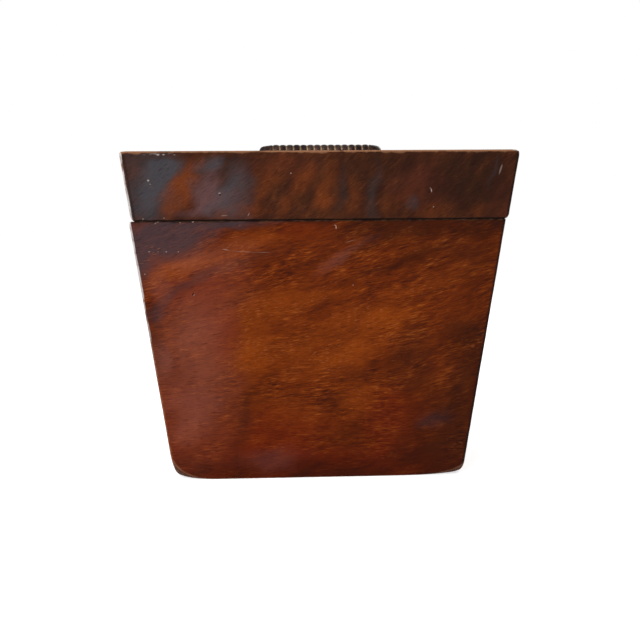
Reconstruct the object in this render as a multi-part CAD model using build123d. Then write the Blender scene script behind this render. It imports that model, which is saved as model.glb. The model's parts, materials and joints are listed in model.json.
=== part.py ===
"""Sarcophagus box: a tapered, veneered mahogany case with a deep hinged lid and a ring-turned drop handle.

Millimetres, +Z up. The origin is on the plane of the underside, below the middle of the lid.
+X is to the right of someone facing the plain front, which looks along -Y, and the hinges are
along the back, at +Y. Every side leans in towards the base at one angle, so the plan at any height
is the top's plan drawn in by the same amount on all four sides.
"""
from build123d import *
import math
import os

# The case, over the veneer
TOP_WIDTH = 254.0  # left to right at the top of the lid
TOP_DEPTH = 178.0  # front to back at the top of the lid
HEIGHT = 217.0  # underside of the base to the top of the lid
LEAN_DEGREES = 7.75  # how far each side leans in from upright
LID_HEIGHT = 44.0  # seam to the top of the lid
SEAM_GAP = 0.4  # daylight between the two rims when shut
CASE_SHIFT = -1.5  # the lid has settled this far to the right of the case

# Woodwork
VENEER = 1.0  # hand-sawn veneer
WALL = 10.5  # carcase wall, measured level
BASE_THICKNESS = 9.0
LID_BOARD = 9.0
LIPPING = 9.0  # height of the solid lipping at each rim
LINING = 1.5  # cloth-covered card
LINING_BELOW_RIM = 1.0  # how far the lining stops short of the rim
UPRIGHT_ARRIS = 1.6  # radius worn on the upright corners
TOP_ARRIS = 1.4
SEAM_ARRIS = 0.6
BASE_ARRIS = 0.7
BASE_WEAR = {  # how far each bottom corner's wear reaches along X, along Y and up
    ("left", "front"): (38.0, 42.0, 27.0),
    ("right", "front"): (60.0, 28.0, 14.0),
    ("left", "back"): (11.0, 10.0, 6.0),
    ("right", "back"): (13.0, 9.0, 5.5),
}
BODY_RIM_WEAR = {  # the same, and down, at the front of the case's rim
    ("left", "front"): (5.0, 18.0, 6.0),
    ("right", "front"): (2.4, 6.0, 2.6),
}
LID_RIM_WEAR = {  # the same, and up, at the front of the lid's rim
    ("left", "front"): (7.0, 24.0, 8.0),
    ("right", "front"): (6.0, 16.0, 7.0),
}
TOP_WEAR = {  # the same, and down, at the lid's top
    ("left", "front"): (4.5, 16.0, 6.0),
    ("right", "front"): (5.0, 16.0, 9.0),
    ("left", "back"): (4.0, 5.0, 4.0),
    ("right", "back"): (5.0, 4.0, 5.0),
}
WEAR_STEPS = 8  # plan curves that shape each worn corner

# Hinges
OPENING_DEGREES = 95.0  # where the bevelled back edges meet
STOP_CLEARANCE_DEGREES = 1.0
PIVOT_INSET = 2.4  # hinge pin in from the back face, at the seam
HINGE_LENGTH = 38.0
HINGE_FROM_END = 52.0  # middle of a hinge to the end of the back, at the seam
LEAF_TO_LINING = 1.9  # wood left in front of a leaf
LEAF_THICKNESS = 1.2
BARREL_RADIUS = 1.8
BARREL_CLEARANCE = 0.25
PIN_RADIUS = 0.75
KNUCKLES = 5
KNUCKLE_GAP = 0.15
LEAF_SCREWS = 3
LEAF_SCREW_PITCH = 13.0
SCREW_LENGTH = 8.0
SCREW_SHANK_RADIUS = 0.95
SCREW_HEAD_RADIUS = 1.85
SCREW_HEAD_HEIGHT = 1.0
SCREW_TIP_RADIUS = 0.1
SCREW_SLOT = 0.5
LINK = 0.5  # how far the strap of a knuckle runs into its leaf

# Brads that hold the base
BRAD_RADIUS = 0.8
BRAD_HEAD_RADIUS = 1.7
BRAD_HEAD_HEIGHT = 0.7
BRAD_LENGTH = 24.0
LONG_SIDE_BRAD_COUNT = 4  # along the front and along the back
SHORT_SIDE_BRAD_COUNT = 2  # along each end
BRAD_FROM_END = 26.0

# Drop handle: the bail is a bar bent round in one plane, hung on two posts
HANDLE_SHIFT = 3.0  # to the right of the lid's middle, as it was fitted
BEAD_COUNT = 14
BEAD_PITCH = 4.75
BEAD_CREST = 4.1  # radius of the grip over a ring
BEAD_VALLEY = 3.4  # and between two rings
CAP_LENGTH = 1.2  # plain collar past the last ring
CAP_RADIUS = 3.8
CORNER_RADIUS = 5.0  # of the bail's centre line
CORNER_START_RADIUS = 3.7  # of the bar as it leaves the grip
ARM_START_RADIUS = 3.0  # of the bar past the corner
ARM_END_RADIUS = 2.2
EYE_RADIUS = 2.6
PINTLE_RADIUS = 1.5
COLLAR_RADIUS = 2.1
COLLAR_GAP = 0.3  # end play against the post's head
REACH = 22.0  # pivot to the middle of the grip
ARM_TO_POST = 8.4
EYE_OVER_ROSE = 0.8
GRIP_REST_GAP = 0.3  # under the grip as it lies on the lid
POST_HEAD_RADIUS = 3.2
POST_NECK_RADIUS = 2.3
POST_FLANGE_RADIUS = 4.6
POST_FLANGE_THICKNESS = 0.8
STUD_RADIUS = 1.9
ROSE_RADIUS = 8.5
ROSE_THICKNESS = 1.2
ROSE_EDGE = 0.7  # radius on its upper edge
ROSE_BEAD_RADIUS = 0.6
NUT_ACROSS = 8.0
NUT_THICKNESS = 2.6
NUT_CORNER = 0.8  # cut off each corner of the nut
WASHER_RADIUS = 5.2
WASHER_THICKNESS = 0.7
NUT_POCKET_SPARE = 0.5  # round the nut and washer
NUT_POCKET_HEADROOM = 0.9  # under the nut

FIT = 0.05  # all round a pin, screw or stud in its hole
MARGIN = 2.0  # how far a cutter runs past the face that it opens
LEVEL = 0.01  # two heights closer than this are the same

# What follows from those sizes
SLOPE = math.tan(math.radians(LEAN_DEGREES))
BODY_RIM = HEIGHT - LID_HEIGHT
LID_RIM = BODY_RIM + SEAM_GAP
LID_BOARD_TOP = HEIGHT - VENEER
LID_BOARD_UNDER = LID_BOARD_TOP - LID_BOARD
CARCASE_INNER = VENEER + WALL
PIVOT_Z = BODY_RIM + SEAM_GAP / 2
BARREL_POCKET = BARREL_RADIUS + BARREL_CLEARANCE
LEAF_WIDTH = CARCASE_INNER - PIVOT_INSET - LEAF_TO_LINING
LEAF_SCREW_FROM_PIN = (BARREL_POCKET + LEAF_WIDTH) / 2
PIVOT_HEIGHT = ROSE_THICKNESS + ROSE_BEAD_RADIUS + EYE_OVER_ROSE + EYE_RADIUS
BAIL_PIVOT_Z = HEIGHT + PIVOT_HEIGHT
NUT_POCKET_RADIUS = max(WASHER_RADIUS, NUT_ACROSS / math.sqrt(2)) + NUT_POCKET_SPARE
NUT_POCKET_DEPTH = WASHER_THICKNESS + NUT_THICKNESS + NUT_POCKET_HEADROOM
GRIP_HALF = BEAD_COUNT * BEAD_PITCH / 2
CORNER_X = GRIP_HALF + CAP_LENGTH
ARM_X = CORNER_X + CORNER_RADIUS
POST_X = ARM_X - ARM_TO_POST
POST_PLACES = (HANDLE_SHIFT - POST_X, HANDLE_SHIFT + POST_X)
HALF_TURN = math.sqrt(0.5)  # how far along both ways the middle of a quarter circle is
BAIL_DROOP_DEGREES = math.degrees(math.asin((PIVOT_HEIGHT - BEAD_CREST - GRIP_REST_GAP) / REACH))


def half_width(z, inset):
    """Middle to the side at height z, drawn in level by inset from the veneer's face."""
    return TOP_WIDTH / 2 - SLOPE * (HEIGHT - z) - inset


def half_depth(z, inset):
    """Middle to the front or back at height z."""
    return TOP_DEPTH / 2 - SLOPE * (HEIGHT - z) - inset


PIVOT_Y = half_depth(BODY_RIM, PIVOT_INSET)
HINGE_X = half_width(BODY_RIM, 0) - HINGE_FROM_END


def block(z_low, z_high, plan):
    """Flat-sided solid between two heights, where plan(z) gives its corners at a height."""
    return ConvexPolyhedron([(x, y, z) for z in (z_low, z_high) for x, y in plan(z)])


def full_plan(inset):
    """The whole case's plan, drawn in by inset."""

    def plan(z):
        x, y = half_width(z, inset), half_depth(z, inset)
        return [(x, y), (x, -y), (-x, y), (-x, -y)]

    return plan


def strip_plan(side, outer, inner, ends=None):
    """A strip along one side, from inset outer to inset inner. Its ends are mitred, or square at ends."""

    def plan(z):
        corners = []
        for across, end in ((outer, ends), (inner, ends)):
            end = across if end is None else end
            if side in ("front", "back"):
                y = half_depth(z, across) * (-1 if side == "front" else 1)
                corners += [(s * half_width(z, end), y) for s in (-1, 1)]
            else:
                x = half_width(z, across) * (-1 if side == "left" else 1)
                corners += [(x, s * half_depth(z, end)) for s in (-1, 1)]
        return corners

    return plan


def edges_at(solid, z):
    return [e for e in solid.edges() if all(abs(v.Z - z) < LEVEL for v in e.vertices())]


def upright_edges(solid):
    return [e for e in solid.edges() if abs(e.vertices()[0].Z - e.vertices()[1].Z) > LEVEL]


def rounded_case(z_low, z_high, low_arris, high_arris):
    """The outer shape between two heights, with its arrises worn round."""
    solid = block(z_low, z_high, full_plan(0))
    solid = fillet(upright_edges(solid), UPRIGHT_ARRIS)
    solid = fillet(edges_at(solid, z_high), high_arris)
    return fillet(edges_at(solid, z_low), low_arris)


def corner_wear(corner, reach, level, way):
    """What is knocked off one corner, from a level up (way 1) or down (way -1). At each height it ends in a
    curve that meets both faces at a tangent, and it shrinks as the square of the distance from the level,
    so that all three arrises run into it."""
    reach_x, reach_y, reach_z = reach
    x_side = -1 if corner[0] == "left" else 1
    y_side = -1 if corner[1] == "front" else 1
    heights = [level - way * MARGIN]
    heights += [level + way * reach_z * (step / WEAR_STEPS) ** 2 for step in range(WEAR_STEPS + 1)]
    shares = [1.0] + [max(1 - step / WEAR_STEPS, 0.1) ** 2 for step in range(WEAR_STEPS + 1)]
    sections = []
    for z, share in zip(heights, shares):
        x, y = half_width(z, 0), half_depth(z, 0)

        def at(from_side, from_face):
            return (x_side * (x - from_side), y_side * (y - from_face), z)

        start, finish = at(reach_x * share, 0), at(0, reach_y * share)
        around = [start, at(reach_x * share, -MARGIN), at(-MARGIN, -MARGIN)]
        around += [at(-MARGIN, reach_y * share), finish]
        sides = [Edge.make_line(a, b) for a, b in zip(around, around[1:])]
        sections.append(Face(Wire(sides + [Bezier(finish, at(0, 0), start).edge()])))
    return loft(sections, ruled=True)


def all_wear(reaches, level, way):
    """The wear of every corner at one level."""
    return [corner_wear(corner, reach, level, way) for corner, reach in reaches.items()]


def groove():
    """The V along the back seam. Its faces meet when the lid is open, and stop it there."""
    half = math.radians((OPENING_DEGREES + STOP_CLEARANCE_DEGREES) / 2)
    out = PIVOT_INSET + MARGIN
    rise = out * math.tan(half)
    section = ((0, 0), (out, rise), (out, -rise))
    ends = (-TOP_WIDTH, TOP_WIDTH)
    return ConvexPolyhedron([(x, PIVOT_Y + y, PIVOT_Z + z) for x in ends for y, z in section])


def x_cylinder(radius, x_low, x_high, y, z):
    """A cylinder along X."""
    centre = ((x_low + x_high) / 2, y, z)
    return Pos(*centre) * Rot(0, 90, 0) * Cylinder(radius, x_high - x_low)


def box_between(low, high):
    size = [b - a for a, b in zip(low, high)]
    return Pos(*[(a + b) / 2 for a, b in zip(low, high)]) * Box(*size)


def leaf_screw_places(leaf):
    """(x, y, z, up) of each screw in both hinges' leaves. The lid's screws point up."""
    z = BODY_RIM if leaf == "body" else LID_RIM
    for side in (-1, 1):
        for i in range(LEAF_SCREWS):
            x = side * HINGE_X + (i - (LEAF_SCREWS - 1) / 2) * LEAF_SCREW_PITCH
            yield x, PIVOT_Y - LEAF_SCREW_FROM_PIN, z, leaf == "lid"


def turned(profile):
    """A solid of revolution about Z from (radius, z) points."""
    outline = Wire.make_polygon([(r, 0, z) for r, z in profile], close=True)
    return revolve(Face(outline), Axis.Z)


def screw_shape(extra):
    """A countersunk wood screw hanging from z = 0, or its hole when extra is above 0."""
    head, shank = SCREW_HEAD_RADIUS + extra, SCREW_SHANK_RADIUS + extra
    taper = SCREW_LENGTH - 2 * SCREW_SHANK_RADIUS
    profile = [(0, 0), (head, 0), (shank, -SCREW_HEAD_HEIGHT), (shank, -taper)]
    profile += [(SCREW_TIP_RADIUS + extra, -SCREW_LENGTH), (0, -SCREW_LENGTH)]
    return turned(profile)


def screws(leaf, extra=0.0):
    """The screws of both hinges on the body or on the lid, or their holes."""
    made = []
    for x, y, z, up in leaf_screw_places(leaf):
        one = screw_shape(extra)
        if not extra:
            one -= Box(3 * SCREW_HEAD_RADIUS, SCREW_SLOT, SCREW_SLOT * 2)
        made.append(Pos(x, y, z) * (Rot(180, 0, 0) * one if up else one))
    return made


def leaf_heights(leaf):
    """The leaf's underside and top. Its flat face is flush with its rim."""
    if leaf == "body":
        return BODY_RIM - LEAF_THICKNESS, BODY_RIM
    return LID_RIM, LID_RIM + LEAF_THICKNESS


def knuckle_spans(leaf):
    """(low, high) along X of the knuckles that one leaf owns, from the hinge's middle."""
    pitch = HINGE_LENGTH / KNUCKLES
    first = 0 if leaf == "body" else 1
    for i in range(first, KNUCKLES, 2):
        low, high = -HINGE_LENGTH / 2 + i * pitch, -HINGE_LENGTH / 2 + (i + 1) * pitch
        yield low + (KNUCKLE_GAP / 2 if i else 0), high - (KNUCKLE_GAP / 2 if i < KNUCKLES - 1 else 0)


def hinge_leaf(leaf, side):
    """One leaf with its knuckles, let in flush with its rim."""
    middle = side * HINGE_X
    low, high = leaf_heights(leaf)
    x_low, x_high = middle - HINGE_LENGTH / 2, middle + HINGE_LENGTH / 2
    made = box_between((x_low, PIVOT_Y - LEAF_WIDTH, low), (x_high, PIVOT_Y - BARREL_POCKET, high))
    for a, b in knuckle_spans(leaf):
        made += box_between((middle + a, PIVOT_Y - BARREL_POCKET - LINK, low), (middle + b, PIVOT_Y, high))
        made += x_cylinder(BARREL_RADIUS, middle + a, middle + b, PIVOT_Y, PIVOT_Z)
    made -= x_cylinder(PIN_RADIUS + FIT, x_low - MARGIN, x_high + MARGIN, PIVOT_Y, PIVOT_Z)
    for hole in screws(leaf, FIT):
        made -= hole
    return made


def hinge_pin(side):
    """The pin, as long as the hinge."""
    middle = side * HINGE_X
    return x_cylinder(PIN_RADIUS, middle - HINGE_LENGTH / 2, middle + HINGE_LENGTH / 2, PIVOT_Y, PIVOT_Z)


def hinge_gains(leaf):
    """What is chopped out of a back lipping for both hinges and their screws."""
    low, high = leaf_heights(leaf)
    low, high = (low, high + MARGIN) if leaf == "body" else (low - MARGIN, high)
    cuts = []
    for side in (-1, 1):
        x_low = side * HINGE_X - HINGE_LENGTH / 2 - FIT
        x_high = side * HINGE_X + HINGE_LENGTH / 2 + FIT
        y_low, y_high = PIVOT_Y - LEAF_WIDTH - FIT, PIVOT_Y + SEAM_GAP / 2
        cuts.append(box_between((x_low, y_low, low), (x_high, y_high, high)))
        cuts.append(x_cylinder(BARREL_POCKET, x_low, x_high, PIVOT_Y, PIVOT_Z))
    return cuts + screws(leaf, FIT)


def spaced(count, reach):
    """count places spread evenly from -reach to reach."""
    return [reach * (2 * i / (count - 1) - 1) for i in range(count)]


def brad_places():
    """(x, y) of each brad, on the middle line of the wall above it."""
    inset = VENEER + WALL / 2
    x_line, y_line = half_width(BASE_THICKNESS, inset), half_depth(BASE_THICKNESS, inset)
    for side in (-1, 1):
        for x in spaced(LONG_SIDE_BRAD_COUNT, half_width(0, BRAD_FROM_END)):
            yield x, side * y_line
        for y in spaced(SHORT_SIDE_BRAD_COUNT, half_depth(0, BRAD_FROM_END)):
            yield side * x_line, y


def brads(extra=0.0):
    """The brads driven up through the base, or their holes."""
    head, shank = BRAD_HEAD_RADIUS + extra, BRAD_RADIUS + extra
    profile = [(0, 0), (head, 0), (head, BRAD_HEAD_HEIGHT), (shank, BRAD_HEAD_HEIGHT)]
    profile += [(shank, BRAD_LENGTH - 3 * BRAD_RADIUS), (0, BRAD_LENGTH)]
    return [Pos(x, y, 0) * turned(profile) for x, y in brad_places()]


def cut(solid, tools):
    for tool in tools:
        solid -= tool
    return solid


SIDES = ("front", "back", "left", "right")


def lapped_ends(side, inset, thickness):
    """Front and back run the full width, and the ends stand between them."""
    return inset if side in ("front", "back") else inset + thickness


def card_plan(side):
    """The lining card against the inside of one wall."""
    return strip_plan(side, CARCASE_INNER, CARCASE_INNER + LINING, lapped_ends(side, CARCASE_INNER, LINING))


def body_pieces():
    """The case below the seam."""
    shape = rounded_case(0, BODY_RIM, BASE_ARRIS, SEAM_ARRIS)
    wear = all_wear(BASE_WEAR, 0, 1)
    rim_wear = all_wear(BODY_RIM_WEAR, BODY_RIM, -1)
    holes = brads(FIT)
    made = {"base_board": cut(block(0, BASE_THICKNESS, full_plan(VENEER)), wear + holes)}
    wall_top = BODY_RIM - LIPPING
    for side in SIDES:
        wall = strip_plan(side, VENEER, CARCASE_INNER, lapped_ends(side, VENEER, WALL))
        made[f"body_wall_{side}"] = cut(block(BASE_THICKNESS, wall_top, wall), wear + rim_wear + holes)
        lipping = block(wall_top, BODY_RIM, strip_plan(side, VENEER, CARCASE_INNER))
        made[f"body_lipping_{side}"] = cut(lipping, rim_wear + [groove()])
        skin = block(0, BODY_RIM, strip_plan(side, 0, VENEER, lapped_ends(side, 0, VENEER)))
        made[f"body_veneer_{side}"] = cut(skin & shape, wear + rim_wear + [groove()])
        card_top = BODY_RIM - LINING_BELOW_RIM
        made[f"body_lining_{side}"] = block(BASE_THICKNESS + LINING, card_top, card_plan(side))
    made["body_lining_floor"] = block(BASE_THICKNESS, BASE_THICKNESS + LINING, full_plan(CARCASE_INNER))
    made["base_brads"] = Compound(brads())
    made = {name: Pos(CASE_SHIFT, 0, 0) * piece for name, piece in made.items()}
    for name in ("body_wall_back", "body_lipping_back"):
        made[name] = cut(made[name], hinge_gains("body"))
    return made


def lid_pieces():
    """The lid's woodwork and lining."""
    shape = rounded_case(LID_RIM, HEIGHT, SEAM_ARRIS, TOP_ARRIS)
    rim_wear = all_wear(LID_RIM_WEAR, LID_RIM, 1)
    top_wear = all_wear(TOP_WEAR, HEIGHT, -1)
    stud_hole = Cylinder(STUD_RADIUS + FIT, 4 * LID_BOARD)
    pocket = Cylinder(NUT_POCKET_RADIUS, 2 * NUT_POCKET_DEPTH)
    stud_holes = [Pos(x, 0, LID_BOARD_TOP) * stud_hole for x in POST_PLACES]
    pockets = [Pos(x, 0, LID_BOARD_UNDER) * pocket for x in POST_PLACES]
    board = block(LID_BOARD_UNDER, LID_BOARD_TOP, full_plan(VENEER))
    top_skin = block(LID_BOARD_TOP, HEIGHT, full_plan(0)) & shape
    made = {
        "lid_board": cut(board, stud_holes + pockets + top_wear),
        "lid_veneer_top": cut(top_skin, stud_holes + top_wear),
        "lid_lining_top": block(LID_BOARD_UNDER - LINING, LID_BOARD_UNDER, full_plan(CARCASE_INNER)),
    }
    wall_low = LID_RIM + LIPPING
    for side in SIDES:
        wall = strip_plan(side, VENEER, CARCASE_INNER, lapped_ends(side, VENEER, WALL))
        made[f"lid_wall_{side}"] = cut(block(wall_low, LID_BOARD_UNDER, wall), rim_wear + top_wear)
        lipping = block(LID_RIM, wall_low, strip_plan(side, VENEER, CARCASE_INNER))
        made[f"lid_lipping_{side}"] = cut(lipping, rim_wear + [groove()])
        skin = block(LID_RIM, LID_BOARD_TOP, strip_plan(side, 0, VENEER, lapped_ends(side, 0, VENEER)))
        made[f"lid_veneer_{side}"] = cut(skin & shape, rim_wear + top_wear + [groove()])
        card_low = LID_RIM + LINING_BELOW_RIM
        made[f"lid_lining_{side}"] = block(card_low, LID_BOARD_UNDER - LINING, card_plan(side))
    for name in ("lid_wall_back", "lid_lipping_back"):
        made[name] = cut(made[name], hinge_gains("lid"))
    return made


def hinge_pieces():
    """Both butt hinges, and their screws in two groups."""
    made = {}
    for name, side in (("left", -1), ("right", 1)):
        made[f"hinge_{name}_body_leaf"] = hinge_leaf("body", side)
        made[f"hinge_{name}_lid_leaf"] = hinge_leaf("lid", side)
        made[f"hinge_{name}_pin"] = hinge_pin(side)
    made["hinge_screws_body"] = Compound(screws("body"))
    made["hinge_screws_lid"] = Compound(screws("lid"))
    return made


def grip():
    """The ring-turned bar along X, each ring a shallow arc, with a plain collar at each end."""
    cap = [(CORNER_X, 0), (CORNER_X, CORNER_START_RADIUS), (GRIP_HALF, CAP_RADIUS), (GRIP_HALF, BEAD_VALLEY)]
    parts = []
    for s in (-1, 1):
        parts += [Edge.make_line((s * a[0], a[1]), (s * b[0], b[1])) for a, b in zip(cap, cap[1:])]
    for i in range(BEAD_COUNT):
        low = -GRIP_HALF + i * BEAD_PITCH
        middle, high = low + BEAD_PITCH / 2, low + BEAD_PITCH
        ring = ThreePointArc((low, BEAD_VALLEY), (middle, BEAD_CREST), (high, BEAD_VALLEY))
        parts.append(ring.edge())
    parts.append(Edge.make_line((CORNER_X, 0), (-CORNER_X, 0)))
    return revolve(Face(Wire(parts)), Axis.X)


def bail():
    """The swinging handle, drawn level with its pivot on X, then let down onto the lid."""
    made = Pos(0, -REACH, 0) * grip()
    for side in (-1, 1):
        middle = (side * (CORNER_X + CORNER_RADIUS * HALF_TURN), -REACH + CORNER_RADIUS * (1 - HALF_TURN), 0)
        bend = ThreePointArc((side * CORNER_X, -REACH, 0), middle, (side * ARM_X, -REACH + CORNER_RADIUS, 0))
        start = Plane(origin=bend @ 0, z_dir=bend % 0) * Circle(CORNER_START_RADIUS)
        end = Plane(origin=bend @ 1, z_dir=bend % 1) * Circle(ARM_START_RADIUS)
        made += sweep([start, end], path=bend, multisection=True)
        arm_length = REACH - CORNER_RADIUS
        arm = Rot(-90, 0, 0) * Cone(ARM_START_RADIUS, ARM_END_RADIUS, arm_length)
        made += Pos(side * ARM_X, -arm_length / 2, 0) * arm
        made += Pos(side * ARM_X, 0, 0) * Sphere(EYE_RADIUS)
        collar_end = POST_X + POST_HEAD_RADIUS + COLLAR_GAP
        inner_end = POST_X - POST_HEAD_RADIUS - COLLAR_GAP
        for radius, near in ((COLLAR_RADIUS, collar_end), (PINTLE_RADIUS, inner_end)):
            low, high = sorted((side * near, side * ARM_X))
            made += x_cylinder(radius, low, high, 0, 0)
    return Pos(HANDLE_SHIFT, 0, BAIL_PIVOT_Z) * Rot(BAIL_DROOP_DEGREES, 0, 0) * made


def rose():
    """A round backplate with a raised ring near its edge."""
    rim = ROSE_RADIUS - ROSE_BEAD_RADIUS
    plate = Pos(0, 0, ROSE_THICKNESS / 2) * Cylinder(ROSE_RADIUS, ROSE_THICKNESS)
    plate = fillet(plate.edges().group_by(Axis.Z)[-1], ROSE_EDGE)
    plate += Pos(0, 0, ROSE_THICKNESS) * Torus(rim - 2 * ROSE_BEAD_RADIUS, ROSE_BEAD_RADIUS)
    plate -= Pos(0, 0, ROSE_THICKNESS / 2) * Cylinder(STUD_RADIUS + FIT, 4 * ROSE_THICKNESS)
    return plate


def post():
    """A turned post with a ball head, and the stud that runs down through the lid."""
    head_low = PIVOT_HEIGHT - POST_HEAD_RADIUS
    stud_low = -VENEER - LID_BOARD + NUT_POCKET_DEPTH - WASHER_THICKNESS - NUT_THICKNESS
    made = Pos(0, 0, PIVOT_HEIGHT) * Sphere(POST_HEAD_RADIUS)
    flange_top = ROSE_THICKNESS + POST_FLANGE_THICKNESS
    stud = [(0, stud_low), (STUD_RADIUS, stud_low), (STUD_RADIUS, ROSE_THICKNESS)]
    flange = [(POST_FLANGE_RADIUS, ROSE_THICKNESS), (POST_FLANGE_RADIUS, flange_top)]
    neck = [(POST_NECK_RADIUS, head_low + POST_FLANGE_THICKNESS), (POST_NECK_RADIUS, PIVOT_HEIGHT)]
    neck.append((0, PIVOT_HEIGHT))
    made += turned(stud + flange + neck)
    made -= x_cylinder(PINTLE_RADIUS + FIT, -2 * POST_HEAD_RADIUS, 2 * POST_HEAD_RADIUS, 0, PIVOT_HEIGHT)
    return made


def handle_pieces():
    """The bail, its posts and roses, and what holds them under the lid's board."""
    washer_z = LID_BOARD_UNDER + NUT_POCKET_DEPTH - WASHER_THICKNESS / 2
    nut_z = washer_z - WASHER_THICKNESS / 2 - NUT_THICKNESS / 2
    hole = Cylinder(STUD_RADIUS + FIT, 4 * NUT_THICKNESS)
    washer = Cylinder(WASHER_RADIUS, WASHER_THICKNESS) - hole
    nut = chamfer(Box(NUT_ACROSS, NUT_ACROSS, NUT_THICKNESS).edges().filter_by(Axis.Z), NUT_CORNER) - hole
    made = {"handle_bail": bail()}
    for name, x in zip(("left", "right"), POST_PLACES):
        at_post = Pos(x, 0, HEIGHT)
        made[f"handle_post_{name}"] = at_post * post()
        made[f"handle_rose_{name}"] = at_post * rose()
    made["handle_washers"] = Compound([Pos(x, 0, washer_z) * washer for x in POST_PLACES])
    made["handle_nuts"] = Compound([Pos(x, 0, nut_z) * nut for x in POST_PLACES])
    return made


def main():
    """Write each piece to a file of its own."""
    os.makedirs("parts", exist_ok=True)
    for group in (body_pieces(), lid_pieces(), hinge_pieces(), handle_pieces()):
        for name, shape in group.items():
            export_step(shape, f"parts/{name}.step")


main()
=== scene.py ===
# %% [markdown]
# # A sarcophagus box in flame mahogany
#
# The box is an old one: a pine carcase under saw-cut mahogany veneer, polished with shellac and worn since.
# Its four sides lean in towards the base, which gives the form its name. The construction is loaded as a
# fixed frame, and this file dresses it. Most of what the eye sees is veneer, so the nine sheets of veneer
# and the drop handle are made again here as surfaces with worn edges, and every other piece keeps its
# shape and gets a finish.

# %% Load the frame
import json
import math

import bpy
import numpy as np
from mathutils import Matrix, Vector


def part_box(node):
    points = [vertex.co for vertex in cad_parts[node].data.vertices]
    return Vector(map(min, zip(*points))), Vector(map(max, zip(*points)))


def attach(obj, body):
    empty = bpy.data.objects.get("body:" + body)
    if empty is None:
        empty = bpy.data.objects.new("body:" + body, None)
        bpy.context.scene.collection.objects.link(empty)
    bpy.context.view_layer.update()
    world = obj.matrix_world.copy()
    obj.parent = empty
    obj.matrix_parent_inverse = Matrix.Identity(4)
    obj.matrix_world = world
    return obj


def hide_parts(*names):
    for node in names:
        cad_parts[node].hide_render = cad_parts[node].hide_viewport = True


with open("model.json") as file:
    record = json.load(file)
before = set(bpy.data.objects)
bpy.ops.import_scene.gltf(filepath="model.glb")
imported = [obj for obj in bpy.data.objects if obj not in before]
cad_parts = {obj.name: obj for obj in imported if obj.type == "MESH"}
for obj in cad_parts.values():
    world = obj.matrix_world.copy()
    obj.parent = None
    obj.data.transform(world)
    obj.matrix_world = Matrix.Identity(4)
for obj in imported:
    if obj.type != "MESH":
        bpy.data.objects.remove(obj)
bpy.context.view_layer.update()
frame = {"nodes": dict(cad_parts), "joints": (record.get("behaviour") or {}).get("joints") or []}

# %% [markdown]
# ## Sizes
#
# Shapes are worked out in millimetres, as a cabinet maker would, and turned to metres when a mesh is made.
# What the frame can tell is read from it: the lean of the sides, the heights of the two rims, the step
# between lid and case, and where the lid turns. Only the wear and the handle's small sections are
# written here.

# %% Read the box's sizes from the frame
MM = 0.001


def box_mm(node):
    """A node's lowest and highest corners in millimetres."""
    low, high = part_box(node)
    return np.array(low) / MM, np.array(high) / MM


board_low, board_high = box_mm("lid_board")
base_low, base_high = box_mm("base_board")
top_low, top_high = box_mm("lid_veneer_top")
joints = {joint["name"]: np.array(joint["pos_m"]) / MM for joint in frame["joints"]}
HEIGHT = top_high[2]
VENEER = top_high[2] - top_low[2]
SLOPE = (board_high[0] - board_low[0] - base_high[0] + base_low[0]) / (2 * (board_high[2] - base_high[2]))
CASE_SHIFT = (base_low[0] + base_high[0]) / 2
BODY_RIM = box_mm("body_veneer_front")[1][2]
LID_RIM = box_mm("lid_veneer_front")[0][2]
_, PIVOT_Y, PIVOT_Z = joints["lid_hinge"]
SHIFT = {"body": CASE_SHIFT, "lid": 0.0}


def half_width(z):
    """Middle to the side at height z: the lid board's half, the veneer on it, and the lean from there."""
    return board_high[0] + VENEER - SLOPE * (board_high[2] - z)


def half_depth(z):
    """Middle to the front or back at height z."""
    return board_high[1] + VENEER - SLOPE * (board_high[2] - z)


print("slope %.4f, rims %.1f and %.1f, shift %.2f" % (SLOPE, BODY_RIM, LID_RIM, CASE_SHIFT))
print("top %.1f by %.1f mm" % (2 * half_width(HEIGHT), 2 * half_depth(HEIGHT)))

# %% [markdown]
# ## Camera
#
# The photograph was taken from a little below the lid's top, so only the upper half of the folded handle
# shows over the edge, and from a little to the left, so the bottom edge rises to the right. The place, the
# turn and the lens were fitted to the outline of the face.

# %% Camera
PHOTO_WIDTH, SENSOR_WIDTH = 640, 36.0
FOCAL_PIXELS = 1050.8
CAMERA_PLACE = (-34.3, -757.2, 170.2)
CAMERA_YAW, CAMERA_PITCH, CAMERA_ROLL = (math.radians(a) for a in (-2.789, 84.819, -0.485))


def stand(name, data):
    """A new object in the scene, of that camera, lamp or mesh."""
    thing = bpy.data.objects.new(name, data)
    bpy.context.scene.collection.objects.link(thing)
    return thing


camera_data = bpy.data.cameras.new("camera")
camera_data.sensor_width = SENSOR_WIDTH
camera_data.lens = FOCAL_PIXELS / PHOTO_WIDTH * SENSOR_WIDTH
camera_data.clip_start = 0.01
turn = Matrix.Rotation(CAMERA_YAW, 4, "Z") @ Matrix.Rotation(CAMERA_PITCH, 4, "X")
turn = turn @ Matrix.Rotation(CAMERA_ROLL, 4, "Z")
camera = stand("camera", camera_data)
camera.matrix_world = Matrix.Translation([v * MM for v in CAMERA_PLACE]) @ turn
bpy.context.scene.camera = camera
print("lens %.1f mm" % camera_data.lens)

# %% [markdown]
# ## Colours and nodes
#
# Colours are given in sRGB, the way a screen shows them, and a shader needs them linear, so one
# function converts. Another adds a node, sets it and feeds its inputs, so a material reads as a list of
# steps.

# %% Helpers for materials
SOFT = {"interpolation_type": "SMOOTHSTEP"}  # a value brought from inputs 1 and 2 to inputs 3 and 4
TIMES = {"operation": "MULTIPLY"}
TIMES_PLUS = {"operation": "MULTIPLY_ADD"}
OVER = {"data_type": "RGBA"}  # one colour laid over another


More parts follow.
